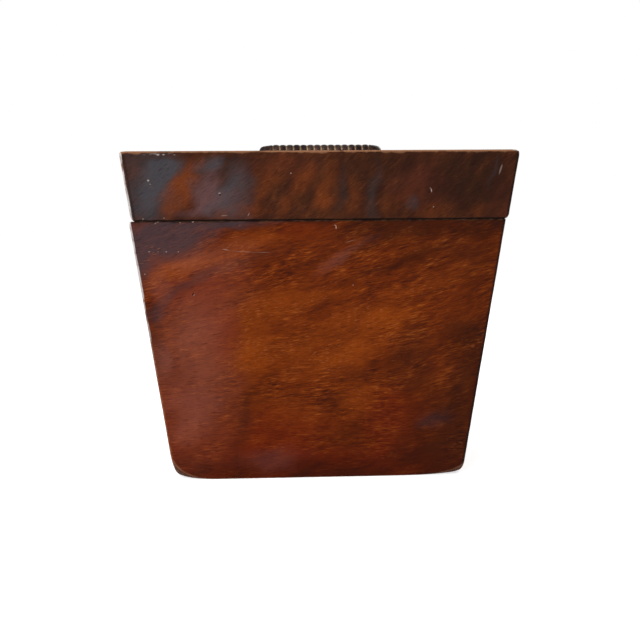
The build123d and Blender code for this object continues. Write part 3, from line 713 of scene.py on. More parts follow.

# %% [markdown]
# ## Figure, age and painted light, patch by patch
#
# The finish is not one colour. A slate blue and a pinkish haze are painted reflections in the polish, the
# flame of the crotch wood glows orange, and the lower right is darker, partly the wood's tone and partly
# painted shade. On the front each patch is a soft ellipse with a wandering outline, placed one by one. The
# other faces were never seen, so theirs are scattered from a seed. The five sums are stored on the mesh
# for the material to read.

# %% Patches of the front
PATCH_CORE, PATCH_EDGE = 0.25, 1.4  # where an ellipse starts to fade and where it ends, in its radii
PATCH_MOST = 1.2
OUTLINE_SWAY = {"along": ((17.0, 7), (6.0, 4)), "up": ((17.0, 5), (6.0, 3))}
FRONT_PATCHES = {  # middle along and up, half sizes along and across, turn in degrees, strength
    # The slate blue patches are a painted reflection of a window in the polish.
    ("body", "slate_reflection"): (
        (-112, 163, 24, 18, 35, 0.75),
        (-88, 167, 30, 11, 14, 1.0),
        (-88, 156, 18, 7, 26, 0.6),
        (-116, 145, 10, 14, 0, 0.6),
        (-55, 172, 28, 4, 3, 0.8),
        (-20, 174, 24, 2.5, 0, 0.5),
        (-100, 122, 14, 4, 30, 0.25),
        (-78, 134, 22, 4, 24, 0.2),
        (-50, 147, 26, 3.5, 16, 0.12),
        (-106, 112, 7, 6, 20, 0.4),
        (-107, 86, 6, 11, 0, 0.2),
        (18, 153, 17, 4, 32, 0.12),
        (32, 159, 11, 4, 20, 0.15),
        (78, 40, 12, 6, 15, 0.25),
        (-27, 15, 16, 7, 10, 0.22),
    ),
    # The dark patches are partly the wood's own tone and partly painted shade, darker to the right and low.
    ("body", "dark"): (
        (100, 20, 64, 46, 70, 0.9),
        (108, 75, 52, 26, 80, 0.75),
        (10, 0, 125, 20, 0, 0.8),
        (66, 95, 16, 14, 20, 0.5),
        (95, 100, 14, 10, 0, 0.45),
        (75, 172, 74, 11, 0, 1.1),
        (40, 168, 60, 14, 0, 0.3),
        (-36, 171, 36, 5, 2, 0.5),
        (82, 152, 16, 10, 0, 0.3),
        (90, 150, 50, 24, 0, 0.35),
        (36, 157, 20, 6, 24, 0.65),
        (60, 147, 22, 4, 22, 0.5),
        (30, 137, 24, 3.5, 14, 0.4),
        (106, 150, 18, 12, 20, 0.4),
        (-108, 98, 7, 26, 10, 0.4),
        (-103, 72, 6, 14, 10, 0.2),
        (-52, 38, 5, 28, -6, 0.5),
        (-40, 60, 12, 4, 12, 0.15),
        (5, 52, 12, 8, 0, 0.35),
        (20, 28, 30, 9, 0, 0.3),
        (60, 73, 18, 18, 0, 0.7),
        (28, 71, 12, 6, 0, 0.3),
        (62, 20, 18, 12, 0, 0.35),
        (-88, 9, 20, 9, 0, 0.45),
        (-100, 122, 16, 4, 30, 0.3),
        (-78, 134, 24, 4, 24, 0.45),
        (-50, 147, 28, 3.5, 16, 0.35),
        (-108, 112, 8, 6, 20, 0.2),
        (6, 149, 16, 5, 10, 0.3),
        (-45, 126, 32, 3, 22, 0.15),
    ),
    ("body", "fire"): (
        (-88, 144, 24, 6, 14, 0.8),
        (-48, 158, 24, 7, 16, 0.5),
        (-8, 164, 28, 4, 6, 0.25),
        (-28, 117, 38, 10, 14, 0.7),
        (-50, 92, 22, 14, 30, 0.45),
        (10, 98, 54, 16, 12, 0.5),
        (22, 85, 22, 8, 10, 0.7),
        (-6, 76, 28, 10, 6, 0.35),
        (-45, 78, 15, 10, 20, 0.5),
        (24, 56, 13, 14, 0, 0.55),
        (-20, 45, 16, 11, 0, 0.4),
        (55, 164, 15, 6, 6, 0.6),
        (66, 152, 12, 4, 8, 0.3),
        (45, 112, 24, 7, 8, 0.6),
        (60, 127, 24, 5, 10, 0.4),
        (88, 135, 15, 5, 14, 0.35),
        (12, 125, 26, 6, 10, 0.35),
        (99, 66, 7, 10, 0, 0.8),
        (-36, 56, 12, 6, 0, 0.3),
        (-54, 102, 12, 6, 10, 0.3),
        (-74, 84, 9, 12, 0, 0.2),
        (96, 97, 7, 14, 0, 0.45),
    ),
    # The pinkish haze is a painted reflection on the polish, strongest on the left.
    ("body", "pink_sheen"): (
        (-79, 88, 26, 40, 4, 0.35),
        (-80, 90, 12, 24, 4, 0.15),
        (-104, 80, 6, 14, 0, 0.45),
        (-86, 55, 32, 50, 6, 0.35),
        (-86, 36, 15, 11, 30, 0.35),
        (-92, 149, 28, 9, 12, 0.4),
        (-76, 118, 36, 20, 30, 0.3),
        (-102, 130, 9, 14, 0, 0.5),
        (-84, 52, 16, 12, 0, 0.4),
        (-62, 152, 28, 8, 14, 0.3),
        (-70, 140, 26, 7, 14, 0.25),
        (12, 149, 15, 4, 34, 0.45),
        (-32, 14, 26, 9, 8, 0.25),
    ),
    ("body", "red"): (
        (0, 4, 115, 18, 0, 0.9),
        (-30, 28, 40, 24, 0, 0.6),
        (50, 36, 26, 26, 0, 0.55),
        (-92, 34, 24, 40, 0, 0.5),
        (-84, 128, 34, 12, 20, 0.5),
        (-8, 168, 24, 8, 0, 0.5),
        (-66, 104, 14, 26, 10, 0.5),
    ),
    ("lid", "red"): (
        (64, 196, 16, 22, 70, 0.8),
        (116, 188, 12, 24, 0, 0.6),
        (-70, 180, 34, 10, 0, 0.4),
        (-30, 208, 30, 8, 0, 0.35),
    ),
    # Slate blue painted reflection, as on the case.
    ("lid", "slate_reflection"): (
        (-105, 198, 15, 10, 66, 0.75),
        (-112, 197, 32, 20, 80, 0.42),
        (-99, 207, 14, 7, 10, 0.4),
        (-118, 184, 13, 12, 0, 0.2),
        (-110, 181, 8, 9, 0, 0.35),
        (-72, 207, 9, 5.5, 20, 0.8),
        (-55, 191, 18, 12, 84, 0.62),
        (-60, 190, 9, 7, 80, 0.2),
        (-66, 180, 12, 5, 0, 0.4),
        (-94, 204, 9, 6, 0, 0.6),
        (58, 184, 5, 5, 0, 0.3),
        (33, 190, 20, 4, 82, 0.25),
        (14, 194, 16, 3.5, 76, 0.15),
        (112, 204, 11, 2, 64, 0.2),
    ),
    # Partly the wood's tone and partly painted shade, darker to the right.
    ("lid", "dark"): (
        (-31, 189, 22, 4.5, 58, 0.45),
        (-10, 196, 22, 4.5, 62, 0.4),
        (14, 194, 22, 5.5, 78, 0.6),
        (34, 192, 28, 7, 84, 0.8),
        (25, 212, 16, 5, 0, 0.2),
        (24, 199, 10, 4, 80, 0.4),
        (48, 211, 18, 7, 6, 0.6),
        (97, 203, 28, 19, 8, 0.75),
        (112, 192, 14, 26, 0, 0.4),
        (86, 196, 48, 28, 0, 0.35),
        (-108, 213, 26, 6, 0, 0.6),
        (-112, 187, 20, 11, 0, 0.6),
        (-66, 200, 20, 9, 60, 0.35),
        (-100, 177, 30, 5, 0, 0.4),
        (-56, 210, 22, 6, 0, 0.45),
    ),
    ("lid", "fire"): (
        (-95, 188, 15, 8.5, 55, 1.1),
        (-83, 201, 13, 4, 62, 0.75),
        (-30, 204, 16, 9, 50, 0.35),
        (-13, 200, 9, 7, 60, 0.75),
        (-38, 186, 16, 5.5, 62, 0.3),
        (-22, 184, 14, 5.5, 60, 0.35),
        (2, 187, 8, 7, 70, 0.8),
        (4, 200, 14, 6.5, 70, 0.35),
        (22, 187, 12, 5, 82, 0.45),
        (46, 184, 11, 7, 60, 0.35),
        (-52, 179, 20, 4.5, 4, 0.6),
        (72, 180, 15, 4.5, 14, 0.35),
        (104, 181, 15, 4.5, 10, 0.3),
    ),
    # Pinkish painted reflection, as on the case.
    ("lid", "pink_sheen"): (
        (-75, 190, 10, 10, 0, 0.9),
        (-68, 186, 11, 7, 10, 0.8),
        (-71, 200, 12, 5, 84, 0.5),
        (-80, 179, 14, 4, 0, 0.6),
        (-54, 190, 16, 11, 80, 0.2),
    ),
}
CHANNELS = ("slate_reflection", "dark", "fire", "pink_sheen", "red")


def patch_sum(x, y, patches, seed):
    """Sum of soft ellipses, each at full strength inside its core and gone at its edge."""
    x = x + sway(x, y, OUTLINE_SWAY["along"], seed)
    y = y + sway(x, y, OUTLINE_SWAY["up"], seed + 2)
    total = np.zeros_like(x)
    for middle_x, middle_y, along, across, degrees, strength in patches:
        turn = math.radians(degrees)
        u = ((x - middle_x) * math.cos(turn) + (y - middle_y) * math.sin(turn)) / along
        v = ((y - middle_y) * math.cos(turn) - (x - middle_x) * math.sin(turn)) / across
        fade = np.clip((PATCH_EDGE - np.hypot(u, v)) / (PATCH_EDGE - PATCH_CORE), 0, 1)
        total = total + strength * fade * fade * (3 - 2 * fade)
    return np.clip(total, 0, PATCH_MOST)


UNSEEN_PATCHES = {  # how many on a face, their half length in mm, width over length, strength
    # Slate blue and pinkish patches are painted reflections, and dark ones partly painted shade, as on the
    # front.
    "slate_reflection": (4, 26, 0.4, 0.6),
    "dark": (13, 52, 0.2, 0.8),
    "fire": (13, 46, 0.2, 0.8),
    "pink_sheen": (5, 30, 0.4, 0.4),
    "red": (7, 40, 0.4, 0.6),
}
LEAN = {"body": 24, "lid": 52}  # degrees that the flame leans from level


def scattered(seed, part, width, low, high):
    """Patches for a face that the photograph doesn't show: bands that lean with the flame, from a seed."""
    rng = np.random.default_rng(seed)
    made = {}
    for channel, (count, length, slimness, strength) in UNSEEN_PATCHES.items():
        middle_x = rng.uniform(-width, width, count)
        middle_y = rng.uniform(low, high, count)
        along = length * rng.uniform(0.4, 1.0, count)
        across = along * slimness * rng.uniform(0.6, 1.4, count)
        degrees = rng.normal(LEAN[part], 9, count)
        strengths = strength * rng.uniform(0.5, 1.0, count)
        made[channel] = list(zip(middle_x, middle_y, along, across, degrees, strengths))
    return made


print("patches on the front", sum(len(p) for p in FRONT_PATCHES.values()))

# %% [markdown]
# The grain doesn't run straight either. The sheet's map, which the material reads, is bent to follow it: its
# second coordinate stays the same along a fibre. On the case the fibres lie level near the base and rise
# to the right higher up, with a slow wander, and on the lid they only wander.

# %% Make the nine sheets
FIRST_SEED, SEED_STEP = 100, 10
FIBRE_RISE = 0.17  # rise over run of the fibres at the top of the case
RISE_START, RISE_RUN = 30, 100  # height at which they begin to rise, and over which they bend
FIBRE_SWAY = ((60.0, 5.0), (19.0, 1.6))


def grain_map(part, s, t):
    """Along the fibre, and across it: the height less the fibre's rise to there."""
    wander = sway(s, t, FIBRE_SWAY, 61)
    if part == "lid":
        return np.stack([s, t + wander], -1)
    rise = FIBRE_RISE * np.clip((t - RISE_START) / RISE_RUN, 0, 1)
    return np.stack([s, t - rise * s + wander], -1)


def make_sheet(part, side):
    """One sheet of veneer, with its grain map, its patches and its worn edges stored on it."""
    if side == "top":
        outer, inner, s, t, fields = top_sheet()
    else:
        outer, inner, s, t, fields = side_sheet(part, side)
    seed = FIRST_SEED + SEED_STEP * len(sheets)
    if side == "front":
        patches = {channel: FRONT_PATCHES[part, channel] for channel in CHANNELS}
    else:
        patches = scattered(seed, part, np.abs(s).max(), t.min(), t.max())
    for channel in CHANNELS:
        fields[channel] = patch_sum(s, t, patches[channel], seed)
    name = f"{part}_veneer_{side}"
    sheet = slab(name + "_worn", outer, inner, grain_map(part, s, t), fields)
    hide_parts(name)
    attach(sheet, "case" if part == "body" else "lid")
    return sheet


sheets = {}
for part, side in [(p, s) for p in ("body", "lid") for s in SIDES] + [("lid", "top")]:
    sheets[part, side] = make_sheet(part, side)
print({sheet.name: len(sheet.data.polygons) for sheet in sheets.values()})

# %% [markdown]
# ## Mahogany veneer under shellac
#
# The wood is Cuban or Honduran mahogany cut through the crotch of the tree, so its figure runs in diagonal
# flames. Under the polish one sees, from large to small: broad smoky bands, a finer ripple across them,
# grain streaks, and open pores, which show as short dashes, dark where dirt fills them and with a painted
# glint where they would catch the lamp. Each layer is noise stretched along its own direction, and its two
# lengths are real sizes in millimetres. Only the pores are drawn half a millimetre to a millimetre across,
# two to four times their true width, so that they show. The layers add up to one tone, which a ramp turns
# to colour, and the stored patches tint it, painted reflections and painted shade among them. Shellac
# rubbed dull by age is a soft gloss, roughness 0.3 to 0.44, and its reflection is kept faint.

# %% Steps that the materials share


def stretched(tree, at, along, across, degrees, detail, seed):
    """Noise stretched along a direction, with both lengths in millimetres."""
    feeds = {
        "Vector": at,
        "Location": (seed * 0.037, seed * 0.011, 0),
        "Rotation": (0, 0, math.radians(degrees)),
        "Scale": (along * MM, across * MM, 1),
    }
    held = add(tree, "Mapping", feeds, vector_type="TEXTURE")
    feeds = {"Vector": held, "Scale": 1.0, "Detail": detail, "Roughness": 0.55}
    return add(tree, "TexNoise", feeds, noise_dimensions="2D")


def warped(tree, at, size, amount, seed):
    """The coordinates pushed about by noise of that size and by that much, both in millimetres."""
    held = add(tree, "Mapping", {"Vector": at, "Location": (seed, seed, 0), "Scale": (1 / size / MM,) * 3})
    push = add(tree, "TexNoise", {"Vector": held, "Scale": 1.0, "Detail": 2.0}, noise_dimensions="2D")
    centred = add(tree, "VectorMath", {0: push.outputs["Color"], 1: (0.5, 0.5, 0.5)}, operation="SUBTRACT")
    scaled = add(tree, "VectorMath", {0: centred, "Scale": 2 * amount * MM}, operation="SCALE")
    return add(tree, "VectorMath", {0: at, 1: scaled}, operation="ADD")


def outward(tree, at, middle, sizes, degrees=0):
    """Distance from a place, counted in half sizes of an ellipse that lies there. All are in millimetres."""
    feeds = {
        "Vector": at,
        "Location": [place * MM for place in middle],
        "Rotation": (0, 0, math.radians(degrees)),
        "Scale": [size * MM for size in sizes],
    }
    held = add(tree, "Mapping", feeds, vector_type="TEXTURE")
    return add(tree, "VectorMath", {0: held}, operation="LENGTH").outputs["Value"]


def mottled(tree, under, over, value, low, high, at_low=0.0, at_high=1.0):
    """One colour over another, by a share that goes softly from at_low to at_high as the value rises."""
    share = add(tree, "MapRange", {0: value, 1: low, 2: high, 3: at_low, 4: at_high}, **SOFT)
    return add(tree, "Mix", {"Factor": share, "A": under, "B": over}, **OVER)


print("shared steps", [step.__name__ for step in (stretched, warped, outward, mottled)])

# %% Colours and grain of the two veneers
MAHOGANY = {
    "body": {
        "flame": (44, 16, 26, 0.22),  # along, across, degrees, weight
        "ripple": (14, 4.5, 10, 0.22),
        "streak": (16, 1.9, 4, 0.35),
        "fibre": (5.5, 0.65, 4, 0.52),
        "tones": ("#3A1204", "#531E04", "#642605", "#79340A", "#944C1A"),
        # The next two colours are painted reflections in the polish, and the dark one is partly painted
        # shade.
        "slate_reflection": "#403439",
        "pink_sheen": "#8A4C3C",
        "fire": "#8C3E08",
        "dark": "#280C03",
        "red": "#6A1A06",
        "catch": 0.36,  # how bright a pore's painted glint of light is
    },
    "lid": {
        "flame": (24, 9, 62, 0.27),
        "ripple": (10, 4.5, 52, 0.18),
        "streak": (11, 1.8, 44, 0.24),
        "fibre": (4.0, 0.65, 30, 0.26),
        "tones": ("#27120A", "#36190D", "#422111", "#532B16", "#6A3A20"),
        # The next two colours are painted reflections in the polish, and the dark one is partly painted
        # shade.
        "slate_reflection": "#43444A",
        "pink_sheen": "#664A4B",
        "fire": "#783814",
        "dark": "#25130B",
        "red": "#532419",
        "catch": 0.14,
    },
}
TONE_PLACES = (0.15, 0.38, 0.55, 0.75, 0.95)
PATCH_MANNER = {  # how a patch follows the flame, and its strongest share
    "fire": (1.6, 0.8),
    "red": (0.6, 0.75),
    "dark": (-1.4, 0.85),
    "pink_sheen": (0.8, 0.8),
    "slate_reflection": (-1.0, 0.95),
}
PATCH_VEIL = 0.15  # share of the wood's own colour that shows through a patch
SHELLAC_GLOSS = 0.05
print("tones from dark to light", {part: look["tones"] for part, look in MAHOGANY.items()})

# %% [markdown]
# The front's polish has nicks, scratches and three old pin holes. They are too small for the mesh, whose
# points lie up to nearly two millimetres apart, so the material draws each as a small ellipse of its own.

# %% Marks on the front
MARKS = {  # middle along and up, half sizes along and across, turn in degrees, strength
    ("lid", "light"): (
        (-109.1, 198.8, 0.7, 0.7, 0, 0.8),
        (-108.0, 196.5, 0.45, 0.4, 0, 0.4),
        (-64.6, 190.6, 0.9, 0.45, 10, 0.6),
        (-19.3, 202.8, 0.45, 0.5, 0, 0.6),
        (70.4, 191.5, 0.35, 1.3, 8, 0.8),
        (69.6, 192.9, 0.3, 0.5, 0, 0.5),
        (-46.4, 177.1, 0.25, 1.3, -28, 0.5),
        (114.6, 204.5, 0.6, 3.6, -16, 0.35),
        (-62.0, 176.5, 2.4, 0.3, 5, 0.3),
        (72.0, 181.0, 0.5, 0.4, 0, 0.5),
        (-100.0, 175.2, 0.8, 0.3, 0, 0.4),
        (-113.3, 174.7, 0.4, 0.7, -25, 0.4),
    ),
    ("lid", "hole"): ((-64.2, 189.6, 0.6, 0.6, 0, 0.9), (69.0, 190.6, 0.5, 0.9, 0, 0.6)),
    ("body", "light"): (
        (10.9, 168.5, 0.3, 1.3, 0, 0.9),
        (10.3, 169.8, 0.7, 0.25, 0, 0.8),
        (-108.7, 153.9, 0.8, 0.4, 0, 0.45),
        (-97.8, 153.8, 0.5, 0.4, 0, 0.6),
        (-90.2, 153.7, 0.45, 0.35, 0, 0.5),
        (-103.0, 153.9, 0.4, 0.3, 0, 0.4),
        (-60.0, 154.8, 2.0, 0.25, -8, 0.5),
        (-48.0, 153.4, 9.0, 0.2, -4, 0.22),
        (-36.0, 152.8, 5.0, 0.2, -2, 0.22),
        (-81.0, 125.6, 0.3, 0.6, -20, 0.5),
        (22.0, 131.0, 0.5, 0.35, 0, 0.5),
        (-112.0, 139.5, 0.5, 0.6, 30, 0.4),
        (20.0, 159.5, 4.0, 0.25, 14, 0.2),
        (-104.0, 172.0, 1.0, 0.3, 40, 0.45),
        (-102.4, 172.7, 0.5, 0.3, 0, 0.5),
        (-88.4, 172.2, 0.5, 0.35, 0, 0.45),
        (-80.4, 172.6, 0.7, 0.35, 10, 0.6),
    ),
    ("body", "hole"): ((-81.6, 126.3, 0.5, 1.1, -20, 0.95),),
}
MARK_TONES = {"light": "#B09A8E", "hole": "#140806"}
MARKS_FROM, MARKS_WHOLE = -40, -50  # Y at which marks begin and are whole: only the front has them


def marked(tree, colour, part):
    """Nicks, scratches and old pin holes, each a small soft ellipse as seen square from the front."""
    at = add(tree, "TexCoord").outputs["Object"]
    parts = add(tree, "SeparateXYZ", {0: at})
    plan = add(tree, "CombineXYZ", {0: parts.outputs["X"], 1: parts.outputs["Z"]})
    feeds = {0: parts.outputs["Y"], 1: MARKS_FROM * MM, 2: MARKS_WHOLE * MM}
    in_front = add(tree, "MapRange", feeds, **SOFT)
    for kind, tone in MARK_TONES.items():
        total = 0.0
        for x, z, along, across, degrees, strength in MARKS[part, kind]:
            away = outward(tree, plan, (x + SHIFT[part], z, 0), (along, across, 1), degrees)
            mark = add(tree, "MapRange", {0: away, 1: 0.5, 2: 1.2, 3: strength, 4: 0.0}, **SOFT)
            total = add(tree, "Math", {0: total, 1: mark}, operation="MAXIMUM")
        share = add(tree, "Math", {0: total, 1: in_front}, **TIMES)
        colour = add(tree, "Mix", {"Factor": share, "A": colour, "B": linear(tone)}, **OVER)
    return colour


print("marks", {key: len(marks) for key, marks in MARKS.items()})

# %% [markdown]
# Pores are the vessels of the wood, cut open along their length. Dirt fills most of them, some carry a
# painted glint of light, and all are a little sunk, which the bump shows. Over them lie the dirt with
# painted shade and the bare wood with painted highlights that the sheet's stored numbers tell of.

# %% Pores and rubbed wood
DIRTY_PORES = (  # along and across in mm, lean from the fibres, where they begin and are full, and strength
    (4.5, 0.5, 0, 0.54, 0.7, 0.3),
    (10.0, 1.0, 2, 0.64, 0.74, 0.45),
)
# The pore colour in the middle is a painted glint of light.
PORE_DIRT, PORE_LIGHT, SEAM_DIRT_AND_SHADE = "#8A6A5A", "#B4683A", "#0C0504"
# Bare tan wood with a painted highlight, and a pale painted highlight with chalky chips.
BARE_AND_LIT_TONES = {"rub_and_highlight": "#96684A", "highlight_and_chips": "#B9B2AF"}


def pores(tree, colour, grain, degrees, catch, seed):
    """Short dashes along the grain: fine dirt lines, a few longer dark ones, and some painted glints of
    light.
    """
    feeds = {"Factor": 1.0, "A": colour, "B": linear(PORE_DIRT)}
    dirty = add(tree, "Mix", feeds, **OVER, blend_type="MULTIPLY")
    for count, (along, across, lean, low, high, strength) in enumerate(DIRTY_PORES):
        dash = stretched(tree, grain, along, across, degrees + lean, 2.0, seed + 20 + count)
        colour = mottled(tree, colour, dirty, dash, low, high, 0.0, strength)
    # Painted glints of light on pores, most where the flame glows.
    light = stretched(tree, grain, 4.0, 0.6, degrees - 2, 1.5, seed + 22)
    lit = add(tree, "MapRange", {0: light, 1: 0.58, 2: 0.76, 4: catch}, **SOFT)
    where = stretched(tree, grain, 26.0, 13.0, degrees + 15, 2.0, seed + 23)
    fire = add(tree, "Attribute", attribute_name="fire").outputs["Fac"]
    where = add(tree, "Math", {0: fire, 1: 0.4, 2: where}, **TIMES_PLUS)
    few = add(tree, "MapRange", {0: where, 1: 0.56, 2: 0.85}, **SOFT)
    share = add(tree, "Math", {0: lit, 1: few}, **TIMES)
    return add(tree, "Mix", {"Factor": share, "A": colour, "B": linear(PORE_LIGHT)}, **OVER)


def edge_wear_dirt_and_light(tree, colour, grain):
    """Dirt and painted shade by the seam, then bare tan wood with a painted highlight where an edge is
    rubbed, and a painted highlight down the left front edge with chalky chips. The last two are broken up
    by what is left of the polish."""
    # The grime number is seam dirt with painted shade.
    dirt_shade = add(tree, "Attribute", attribute_name="grime").outputs["Fac"]
    # Nearly black: seam dirt and painted shade.
    share = add(tree, "Math", {0: dirt_shade, 1: 0.92}, **TIMES)
    colour = add(tree, "Mix", {"Factor": share, "A": colour, "B": linear(SEAM_DIRT_AND_SHADE)}, **OVER)
    patchy = stretched(tree, grain, 5.0, 2.0, 0, 3.0, 3)
    for stored, tone in BARE_AND_LIT_TONES.items():
        bare = add(tree, "Attribute", attribute_name=stored).outputs["Fac"]
        broken = add(tree, "Math", {0: patchy, 1: 0.6, 2: bare}, **TIMES_PLUS)
        broken = add(tree, "MapRange", {0: broken, 1: 0.4, 2: 0.95}, **SOFT)
        share = add(tree, "Math", {0: broken, 1: bare}, **TIMES)
        colour = add(tree, "Mix", {"Factor": share, "A": colour, "B": linear(tone)}, **OVER)
    return colour


def surface_bump(tree, grain, degrees, seed):
    """Open pores and the polish's slight unevenness, as bump."""
    along, across = DIRTY_PORES[0][:2]
    pore = stretched(tree, grain, along, across, degrees, 2.0, seed + 20)
    pits = add(tree, "MapRange", {0: pore, 1: 0.54, 2: 0.72, 3: 1.0, 4: 0.0}, **SOFT)
    uneven = stretched(tree, grain, 5.0, 3.0, degrees, 2.0, seed + 30)
    height = add(tree, "Math", {0: uneven, 1: 0.8, 2: pits}, **TIMES_PLUS)
    return add(tree, "Bump", {"Strength": 0.35, "Distance": 0.05 * MM, "Height": height})


print("kinds of dirty pore", len(DIRTY_PORES), "bare tones", BARE_AND_LIT_TONES)

# %% [markdown]
# Lid and case were veneered from different parts of the tree, so one function makes both from the two
# tables above. It lays the tone, the patches, the pores, the bare wood and the marks over each other.

# %% The mahogany
MIDDLE_TONE = 0.55
EVEN_LAYERS, LIVELY_LAYERS = ("flame", "ripple"), ("streak", "fibre")


def figure(tree, grain, look, seed):
    """The flame alone, and the whole tone: layers of stretched noise, each centred and weighed. The two
    finest come and go, as the pores lie open or along the cut."""
    smoky = warped(tree, grain, 30.0, 5.0, seed)
    slow = stretched(tree, grain, 34.0, 17.0, 20, 3.0, seed + 12)
    lively = add(tree, "MapRange", {0: slow, 1: 0.35, 2: 0.65, 3: 0.45, 4: 1.35}, **SOFT)
    tone, flame = MIDDLE_TONE, None
    for count, key in enumerate(EVEN_LAYERS + LIVELY_LAYERS):
        along, across, degrees, weight = look[key]
        at = smoky if key in EVEN_LAYERS else grain
        noise = stretched(tree, at, along, across, degrees, 3.0, seed + count)
        layer = add(tree, "Math", {0: noise, 1: 0.5}, operation="SUBTRACT")
        flame = flame or layer
        if key in LIVELY_LAYERS:
            layer = add(tree, "Math", {0: layer, 1: lively}, **TIMES)
        tone = add(tree, "Math", {0: layer, 1: 2 * weight, 2: tone}, **TIMES_PLUS)
    return flame, tone


def patched(tree, colour, flame, look):
    """The stored patches over the wood's colour, each broken up by the flame and slightly sheer. Among them
    are painted reflections and painted shade.
    """
    for channel, (follows, strongest) in PATCH_MANNER.items():
        stored = add(tree, "Attribute", attribute_name=channel).outputs["Fac"]
        lean = add(tree, "Math", {0: flame, 1: follows, 2: 1.0}, **TIMES_PLUS)
        broken = add(tree, "Math", {0: stored, 1: lean}, **TIMES)
        broken = add(tree, "Math", {0: broken, 1: 1.0}, operation="MINIMUM")
        share = add(tree, "Math", {0: broken, 1: strongest}, **TIMES)
        sheer = add(tree, "Mix", {"Factor": PATCH_VEIL, "A": linear(look[channel]), "B": colour}, **OVER)
        colour = add(tree, "Mix", {"Factor": share, "A": colour, "B": sheer}, **OVER)
    return colour


def mahogany(name, part, seed):
    """Veneer of one part, read from the sheet's own grain map and stored patches."""
    look = MAHOGANY[part]
    material, tree = new_tree(name)
    grain = add(tree, "UVMap", uv_map="grain")
    flame, tone = figure(tree, grain, look, seed)
    colour = add(tree, "ValToRGB", {0: tone}, tuple(zip(TONE_PLACES, look["tones"])))
    colour = patched(tree, colour, flame, look)
    degrees = look["fibre"][2]
    colour = pores(tree, colour, grain, degrees, look["catch"], seed)
    colour = marked(tree, edge_wear_dirt_and_light(tree, colour, grain), part)
    bump = surface_bump(tree, grain, degrees, seed)
    dulled = stretched(tree, grain, 26.0, 18.0, 0, 4.0, seed + 9)
    rough = add(tree, "MapRange", {0: dulled, 1: 0.3, 2: 0.7, 3: 0.3, 4: 0.44}, **SOFT)
    feeds = {"Base Color": colour, "Roughness": rough, "Specular IOR Level": SHELLAC_GLOSS, "Normal": bump}
    add(tree, "OutputMaterial", {"Surface": add(tree, "BsdfPrincipled", feeds)})
    return material


finish = {
    "body": mahogany("body_mahogany_shellac", "body", 3),
    "lid": mahogany("lid_mahogany_shellac", "lid", 8),
}
for (part, side), sheet in sheets.items():
    sheet.data.materials.append(finish[part])
print("nodes in the body's veneer", len(finish["body"].node_tree.nodes))

# %% [markdown]
# ## The drop handle
#
# The handle is cast and turned brass, gone dark, with polish left on what a hand rubs. The bail is one bar:
# two tapered arms, two bends, and a straight grip turned into fourteen rings between two collars. It
# hangs in two ball-headed posts on round roses. A ring of points carried along a path makes the bar, and
# the same rings carried along a straight axis make everything that came off a lathe.

# %% Rings carried along a path
BRASS_CREASE = 50
COLUMNS, BAR_COLUMNS = 40, 44  # points round lathe work, and round the bail's bar


def rings(centres, along, upright, radii, columns=COLUMNS):
    """Rows of circles: centre + radius (cos a · N + sin a · B), where N is B cross the path's direction."""
    across = np.cross(upright, along)
    angle = np.linspace(0, 2 * math.pi, columns, endpoint=False)[None, :, None]
    spoke = np.cos(angle) * across[:, None, :] + np.sin(angle) * upright[:, None, :]
    return centres[:, None, :] + radii[:, None, None] * spoke


def turned(profile, centre, axis):
    """Lathe work: (place along the axis, radius) pairs carried round the axis through a centre."""
    profile = np.array(profile, float)
    along = np.broadcast_to(np.array(axis, float), (len(profile), 3))
    upright = np.broadcast_to(np.roll(np.array(axis, float), 1), (len(profile), 3))
    return rings(np.array(centre) + profile[:, :1] * along, along, upright, profile[:, 1])


def shells(name, parts):
    """One mesh of closed shells. Each is rows of rings, and how deep in a groove each row lies."""
    points, faces, depths, start = [], [], [], 0
    for rows, depth in parts:
        count, columns = rows.shape[:2]
        here = start + np.arange(count * columns).reshape(count, columns)
        beside = np.roll(here, -1, axis=1)
        faces += np.stack([here[:-1], beside[:-1], beside[1:], here[1:]], -1).reshape(-1, 4).tolist()
        low = np.full(columns, start + count * columns)
        faces += np.stack([low, beside[0], here[0]], -1).tolist()
        faces += np.stack([low + 1, here[-1], beside[-1]], -1).tolist()
        points += [rows.reshape(-1, 3), rows[[0, -1]].mean(axis=1)]
        depths += [np.repeat(depth, columns), depth[[0, -1]]]
        start += count * columns + 2
    mesh = bpy.data.meshes.new(name)
    mesh.from_pydata((np.concatenate(points) * MM).tolist(), [], faces)
    store(mesh, "groove", np.concatenate(depths))
    return shaded(name, mesh, BRASS_CREASE)


print("a ring of", rings(np.zeros((1, 3)), np.eye(3)[:1], np.eye(3)[2:], np.ones(1)).shape[1], "points")

# %% Sizes of the handle
BEADS, BEAD_PITCH, BEAD_CREST, BEAD_VALLEY = 14, 4.75, 4.1, 3.35
BEAD_UNEVEN, BEAD_FULLNESS = 0.05, 2.6  # what hand turning left, and how square-shouldered a ring is
PACKED = 0.2  # old polish in the bottom of each groove
COLLAR_LENGTH, COLLAR_RADIUS = 1.2, 3.8
BEND_RADIUS, BEND_BAR_RADIUS = 5.0, 3.7
ARM_THICK, ARM_THIN, EYE_RADIUS = 3.0, 2.2, 2.6
REACH = 22.0
PINTLE_RADIUS, SHOULDER_RADIUS, END_PLAY = 1.5, 2.1, 0.3
HEAD_RADIUS, NECK_RADIUS, FLANGE_RADIUS, FLANGE_THICKNESS, STUD_RADIUS = 3.2, 2.3, 4.6, 0.8, 1.9
ROSE_RADIUS, ROSE_THICKNESS, ROSE_EDGE, ROSE_RING = 8.5, 1.2, 0.7, 0.6

